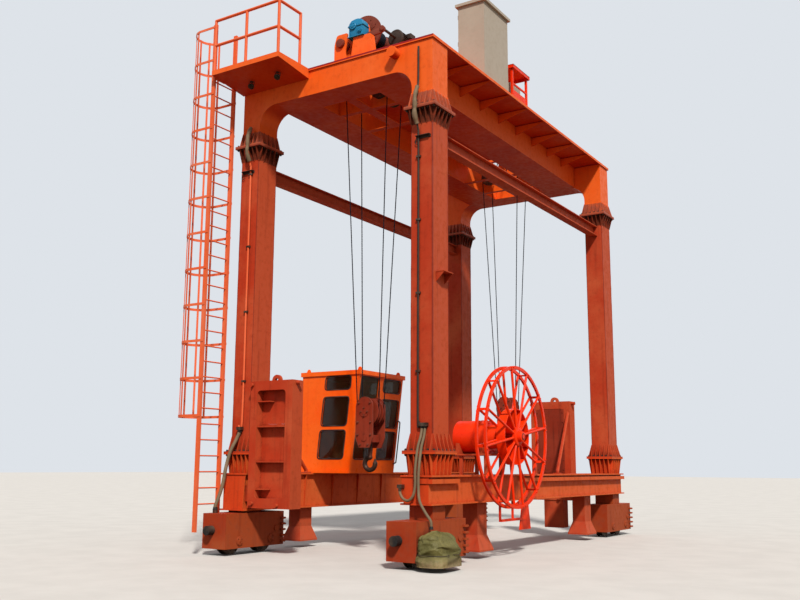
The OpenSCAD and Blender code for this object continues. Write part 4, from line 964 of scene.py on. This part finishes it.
def winch_canopy():
    """A small roof of folded sheet on four posts, over a panelled box."""
    x0, x1, y0, y1 = 1.40, 2.20, -0.95, -0.10
    z0, z1 = DECK_Z, DECK_Z + 0.85
    post, sheet, fold = 0.05, 0.006, 0.08
    bm = bmesh.new()
    for x in (x0 + 0.04, x1 - 0.09):
        for y in (y0 + 0.04, y1 - 0.09):
            add_slab(bm, at(x, y, z0), at(x + post, y + post, z1 - 0.02))
    add_slab(bm, at(x0, y0, z1 - 0.02), at(x1, y1, z1))
    for low, high in (((x0, y0), (x1, y0 + sheet)), ((x0, y1 - sheet), (x1, y1)),
                      ((x0, y0), (x0 + sheet, y1)), ((x1 - sheet, y0), (x1, y1))):
        add_slab(bm, at(*low, z1 - fold), at(*high, z1), 0.001)
    add_slab(bm, at(x1 - 0.06, y0 + 0.08, z0 + 0.02), at(x1 - 0.054, y1 - 0.08, z0 + 0.30), 0.001)
    add_slab(bm, at(x1 - 0.08, y0 + 0.06, z0 + 0.42), at(x1 - 0.05, y1 - 0.06, z0 + 0.46), 0.002)
    made = piece("winch_canopy", bm, "bright_red_paint")
    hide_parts("canopy")
    box = bmesh.new()
    face = x1 - 0.16
    add_slab(box, at(x0 + 0.16, y0 + 0.16, z0), at(face, y1 - 0.16, z0 + 0.52), 0.01)
    add_slab(box, at(face, y0 + 0.2, z0 + 0.06), at(face + 0.008, y1 - 0.2, z0 + 0.48), 0.003)
    add_slab(box, at(face + 0.01, -0.5, z0 + 0.24), at(face + 0.03, -0.48, z0 + 0.32), 0.003)
    piece("winch_box", box, "grey_sheet")


def cab_handrail():
    """A handrail up the cab's leaning front."""
    foot_x, lean, y = -0.85, 0.25 / 2.11, -1.0
    path = [at(foot_x + lean * (z - SILL_TOP) + out, y, z)
            for z, out in ((1.70, 0.0), (1.73, 0.06 - 0.02 * lean), (1.80, 0.07), (2.50, 0.07),
                           (2.60, 0.06), (2.63, 0.0))]
    bm = bmesh.new()
    add_tube(bm, smooth_path(path, 5), 0.013, sides=12)
    piece("cab_handrail", bm, "dark_paint")


def cab_eyes():
    """Lifting eyes at the corners of the cab's roof."""
    bm = bmesh.new()
    for x in (-2.02, -0.68):
        for y in (-2.52, -1.05):
            foot = at(x, y, 3.615)
            outline = [foot + RIGHT * 0.045 * cos(t) + UP * (0.035 + 0.045 * sin(t))
                       for t in (pi * k / 10 for k in range(11))]
            outline += [foot - RIGHT * 0.06, foot + RIGHT * 0.06]
            add_prism(bm, outline, BACK * 0.014, 0.002)
    piece("cab_eyes", bm, "cab_paint")


def cabinet_doors():
    """Two doors with hinges and handles on the cabinet's hidden side."""
    low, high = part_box("cabinet")
    face, z = low[0], low[2]
    half = (low[1] + high[1]) / 2
    bm = bmesh.new()
    for y0, y1 in ((low[1] + 0.03, half - 0.004), (half + 0.004, high[1] - 0.03)):
        add_slab(bm, (face - 0.012, y0, z + 0.08), (face + 0.002, y1, high[2] - 0.05))
    for side in (-1, 1):
        y = half + side * 0.05
        add_slab(bm, (face - 0.035, y - 0.012, z + 0.8), (face - 0.01, y + 0.012, z + 0.93))
        y = half + side * ((high[1] - low[1]) / 2 - 0.03)
        for up in (0.25, 0.85, 1.45):
            foot = Vector((face - 0.014, y, z + up))
            add_tube(bm, [foot, foot + UP * 0.09], 0.011, sides=10)
    piece("cabinet_doors", bm, "grey_sheet")


tower_seams()
head_clamps()
floodlight("floodlight_right", -0.99, -5.05, 9.235, 9.322)
floodlight("floodlight_left", -1.73, -4.98, 9.228, 9.315)
hoist_details()
reel_details()
bogie_details()
frame_backs()
winch_canopy()
cab_handrail()
cab_eyes()
cabinet_doors()


# Drive cover: a sheet of cloth let down over the drive, tied round with a cord

SETTLE_FRAMES = 24
SETTLE_CAP = 0.075


def settle(made, forms):
    """Lets a cloth piece come to rest over forms, each point moving no further than a cap."""
    cloth = made.modifiers.new("cloth", "CLOTH")
    for name, value in (("quality", 6), ("mass", 0.3), ("tension_stiffness", 18),
                        ("compression_stiffness", 12), ("shear_stiffness", 6),
                        ("bending_stiffness", 0.6), ("shrink_min", -0.09), ("air_damping", 3)):
        setattr(cloth.settings, name, value)
    cloth.collision_settings.distance_min = 0.005
    cloth.collision_settings.use_self_collision = True
    cloth.collision_settings.self_distance_min = 0.005
    for form in forms:
        form.modifiers.new("collision", "COLLISION")
        form.collision.thickness_outer = 0.008
        form.collision.cloth_friction = 30
    scene = bpy.context.scene
    start = [v.co.copy() for v in made.data.vertices]
    for k in range(1, SETTLE_FRAMES + 1):
        scene.frame_set(k)
    settled = made.evaluated_get(bpy.context.evaluated_depsgraph_get()).to_mesh()
    ends = [v.co.copy() for v in settled.vertices]
    made.modifiers.remove(cloth)
    scene.frame_set(1)
    for vert, a, b in zip(made.data.vertices, start, ends):
        move = b - a
        vert.co = a + move * min(1.0, SETTLE_CAP / max(move.length, 1e-6))
    for form in forms:
        bpy.data.objects.remove(form)


def first_drape(low, size):
    """The cover's sheet as it is let down: flat on top, then down the sides in creases."""
    around, rows = 88, 40
    shoulder = 0.34
    bm = bmesh.new()
    rings = []
    for j in range(rows + 1):
        t = j / rows
        top = min(1.0, t / shoulder)
        down = max(0.0, (t - shoulder) / (1 - shoulder))
        reach = 0.8 * top ** 1.1 + 0.15 * down ** 0.7 if j else 0.012
        z = size.z * (0.985 - 0.16 * top ** 3) - size.z * 0.83 * down
        ring = []
        for k in range(around):
            a = 2 * pi * k / around
            ca, sa = cos(a), sin(a)
            px = copysign(abs(ca) ** 0.5, ca)
            py = copysign(abs(sa) ** 0.5, sa)
            sway = 0.07 * size.x * (1 - down) * (-1 if px > 0 else 0.2)
            back = 0.04 * size.y * (1 - down)
            wrinkle = (noise.noise(Vector((ca * 3.1, sa * 3.1, 1.7 * t)))
                       + 0.6 * noise.noise(Vector((ca * 7.0, sa * 7.0, 4.0 * t))))
            reach_x = px * reach * size.x / 2 * (1 + 0.06 * wrinkle)
            reach_y = py * reach * size.y / 2 * (1 + 0.05 * wrinkle)
            ring.append(bm.verts.new((
                low.x + size.x / 2 + reach_x + sway * top,
                low.y + size.y / 2 + reach_y + back,
                max(low.z + 0.006, low.z + z - 0.03 * top + 0.02 * wrinkle))))
        rings.append(ring)
    skin(bm, rings)
    bm.faces.new(rings[0])
    return bm


def forms_under(low, high):
    """What the cloth lies on: the drive's housing with its motor, and the ground."""
    bm = bmesh.new()
    add_slab(bm, low + Vector((0.05, 0.12, 0.0)), high - Vector((0.17, 0.16, 0.16)), 0.05)
    add_lathe(bm, Vector((low.x + 0.22, low.y + 0.2, low.z + 0.42)), BACK,
              [(0, 0.1), (0.02, 0.14), (0.5, 0.14), (0.52, 0.1)])
    bmesh.ops.recalc_face_normals(bm, faces=bm.faces)
    housing = bpy.data.meshes.new("form")
    bm.to_mesh(housing)
    bm.free()
    ground = bpy.data.meshes.new("ground")
    ground.from_pydata([(0, -8, 0), (6, -8, 0), (6, -2, 0), (0, -2, 0)], [], [(0, 1, 2, 3)])
    return [add_object(mesh.name, mesh) for mesh in (housing, ground)]


def tie_path(made, centre, z):
    """A closed path round the cover at the tie's height, just outside the cloth."""
    steps = 60
    ways = ring_points(Vector((0, 0, 0)), RIGHT, BACK, 1.0, steps)
    band = []
    for vert in made.data.vertices:
        d = vert.co - centre
        d.z = 0
        if abs(vert.co.z - z) < 0.016 and d.length > 0.05:
            band.append((d.length, d.normalized()))
    reach = [max([0.1] + [r for r, d in band if d.dot(way) > 0.992]) for way in ways]
    path = []
    for k, way in enumerate(ways):
        r = max(reach[k], (reach[k - 1] + reach[(k + 1) % steps]) / 2) + 0.001
        path.append(Vector((centre.x, centre.y, z)) + way * r)
    return path


def drive_cover():
    """The cloth over the travel drive, its waist under the tie, and the tie."""
    low, high = (Vector(p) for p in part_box("drive_cover"))
    size = high - low
    made = piece("drive_cover_cloth", first_drape(low, size), "cover_fabric")
    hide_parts("drive_cover")
    settle(made, forms_under(low, high))
    tie_z = low.z + 0.4 * size.z
    centre = low + size / 2
    edge = 0.004
    for vert in made.data.vertices:
        squeeze = 0.07 * exp(-((vert.co.z - tie_z) / 0.035) ** 2)
        for axis in (0, 1):
            vert.co[axis] += (centre[axis] - vert.co[axis]) * squeeze
        for axis in (0, 1, 2):
            vert.co[axis] = min(max(vert.co[axis], low[axis] + edge), high[axis] - edge)
    tie = bmesh.new()
    add_tube(tie, tie_path(made, centre, tie_z), 0.005, sides=8, closed=True)
    piece("drive_cover_tie", tie, "dark_paint")
    solid = made.modifiers.new("thickness", "SOLIDIFY")
    solid.thickness = 0.003
    solid.offset = -1
    smooth = made.modifiers.new("smooth", "SUBSURF")
    smooth.levels = smooth.render_levels = 1


drive_cover()


# Lights, floor and background

def floor():
    """A pale floor that is darker as a source of light from below."""
    bpy.ops.mesh.primitive_plane_add(size=300, location=(0, 0, 0))
    made = bpy.context.object
    made.name = "floor"
    s = Shader("floor")
    fine = s.noise(1.2, 5, 0.6)
    pale = s.mix(s.ranged(fine, 0.3, 0.7), linear(206, 203, 198), linear(213, 210, 205))
    seen = s.add("LightPath").outputs["Is Camera Ray"]
    colour = s.mix(seen, linear(128, 112, 92), pale)
    made.data.materials.append(s.finish(colour, 0.85, specular=0.2))


def background():
    """Pale where it is seen, straight or in glass, and weaker as a source of light."""
    world = bpy.data.worlds.new("studio")
    bpy.context.scene.world = world
    world.use_nodes = True
    tree = world.node_tree
    back = tree.nodes["Background"]
    pale = tree.nodes.new("ShaderNodeBackground")
    for node, shade, strength in ((back, (0.97, 0.97, 1.0, 1.0), 0.45),
                                  (pale, linear(222, 227, 233), 1.0)):
        node.inputs["Color"].default_value = shade
        node.inputs["Strength"].default_value = strength
    path = tree.nodes.new("ShaderNodeLightPath")
    share = path.outputs["Is Camera Ray"]
    for name in ("Is Glossy Ray", "Is Transmission Ray"):
        more = tree.nodes.new("ShaderNodeMath")
        more.operation = "MAXIMUM"
        tree.links.new(share, more.inputs[0])
        tree.links.new(path.outputs[name], more.inputs[1])
        share = more.outputs[0]
    mixed = tree.nodes.new("ShaderNodeMixShader")
    tree.links.new(share, mixed.inputs[0])
    tree.links.new(back.outputs[0], mixed.inputs[1])
    tree.links.new(pale.outputs[0], mixed.inputs[2])
    tree.links.new(mixed.outputs[0], tree.nodes["World Output"].inputs["Surface"])


def sun():
    """Low afternoon sun from the front right."""
    lamp = add_object("sun", bpy.data.lights.new("sun", "SUN"))
    lamp.data.energy = 3.7
    lamp.data.angle = radians(5)
    lamp.data.color = (1.0, 0.96, 0.9)
    towards = Vector((0.51, -0.59, 0.75))
    lamp.rotation_euler = towards.to_track_quat("Z", "Y").to_euler()


floor()
background()
sun()
bpy.context.scene.view_settings.view_transform = "Standard"
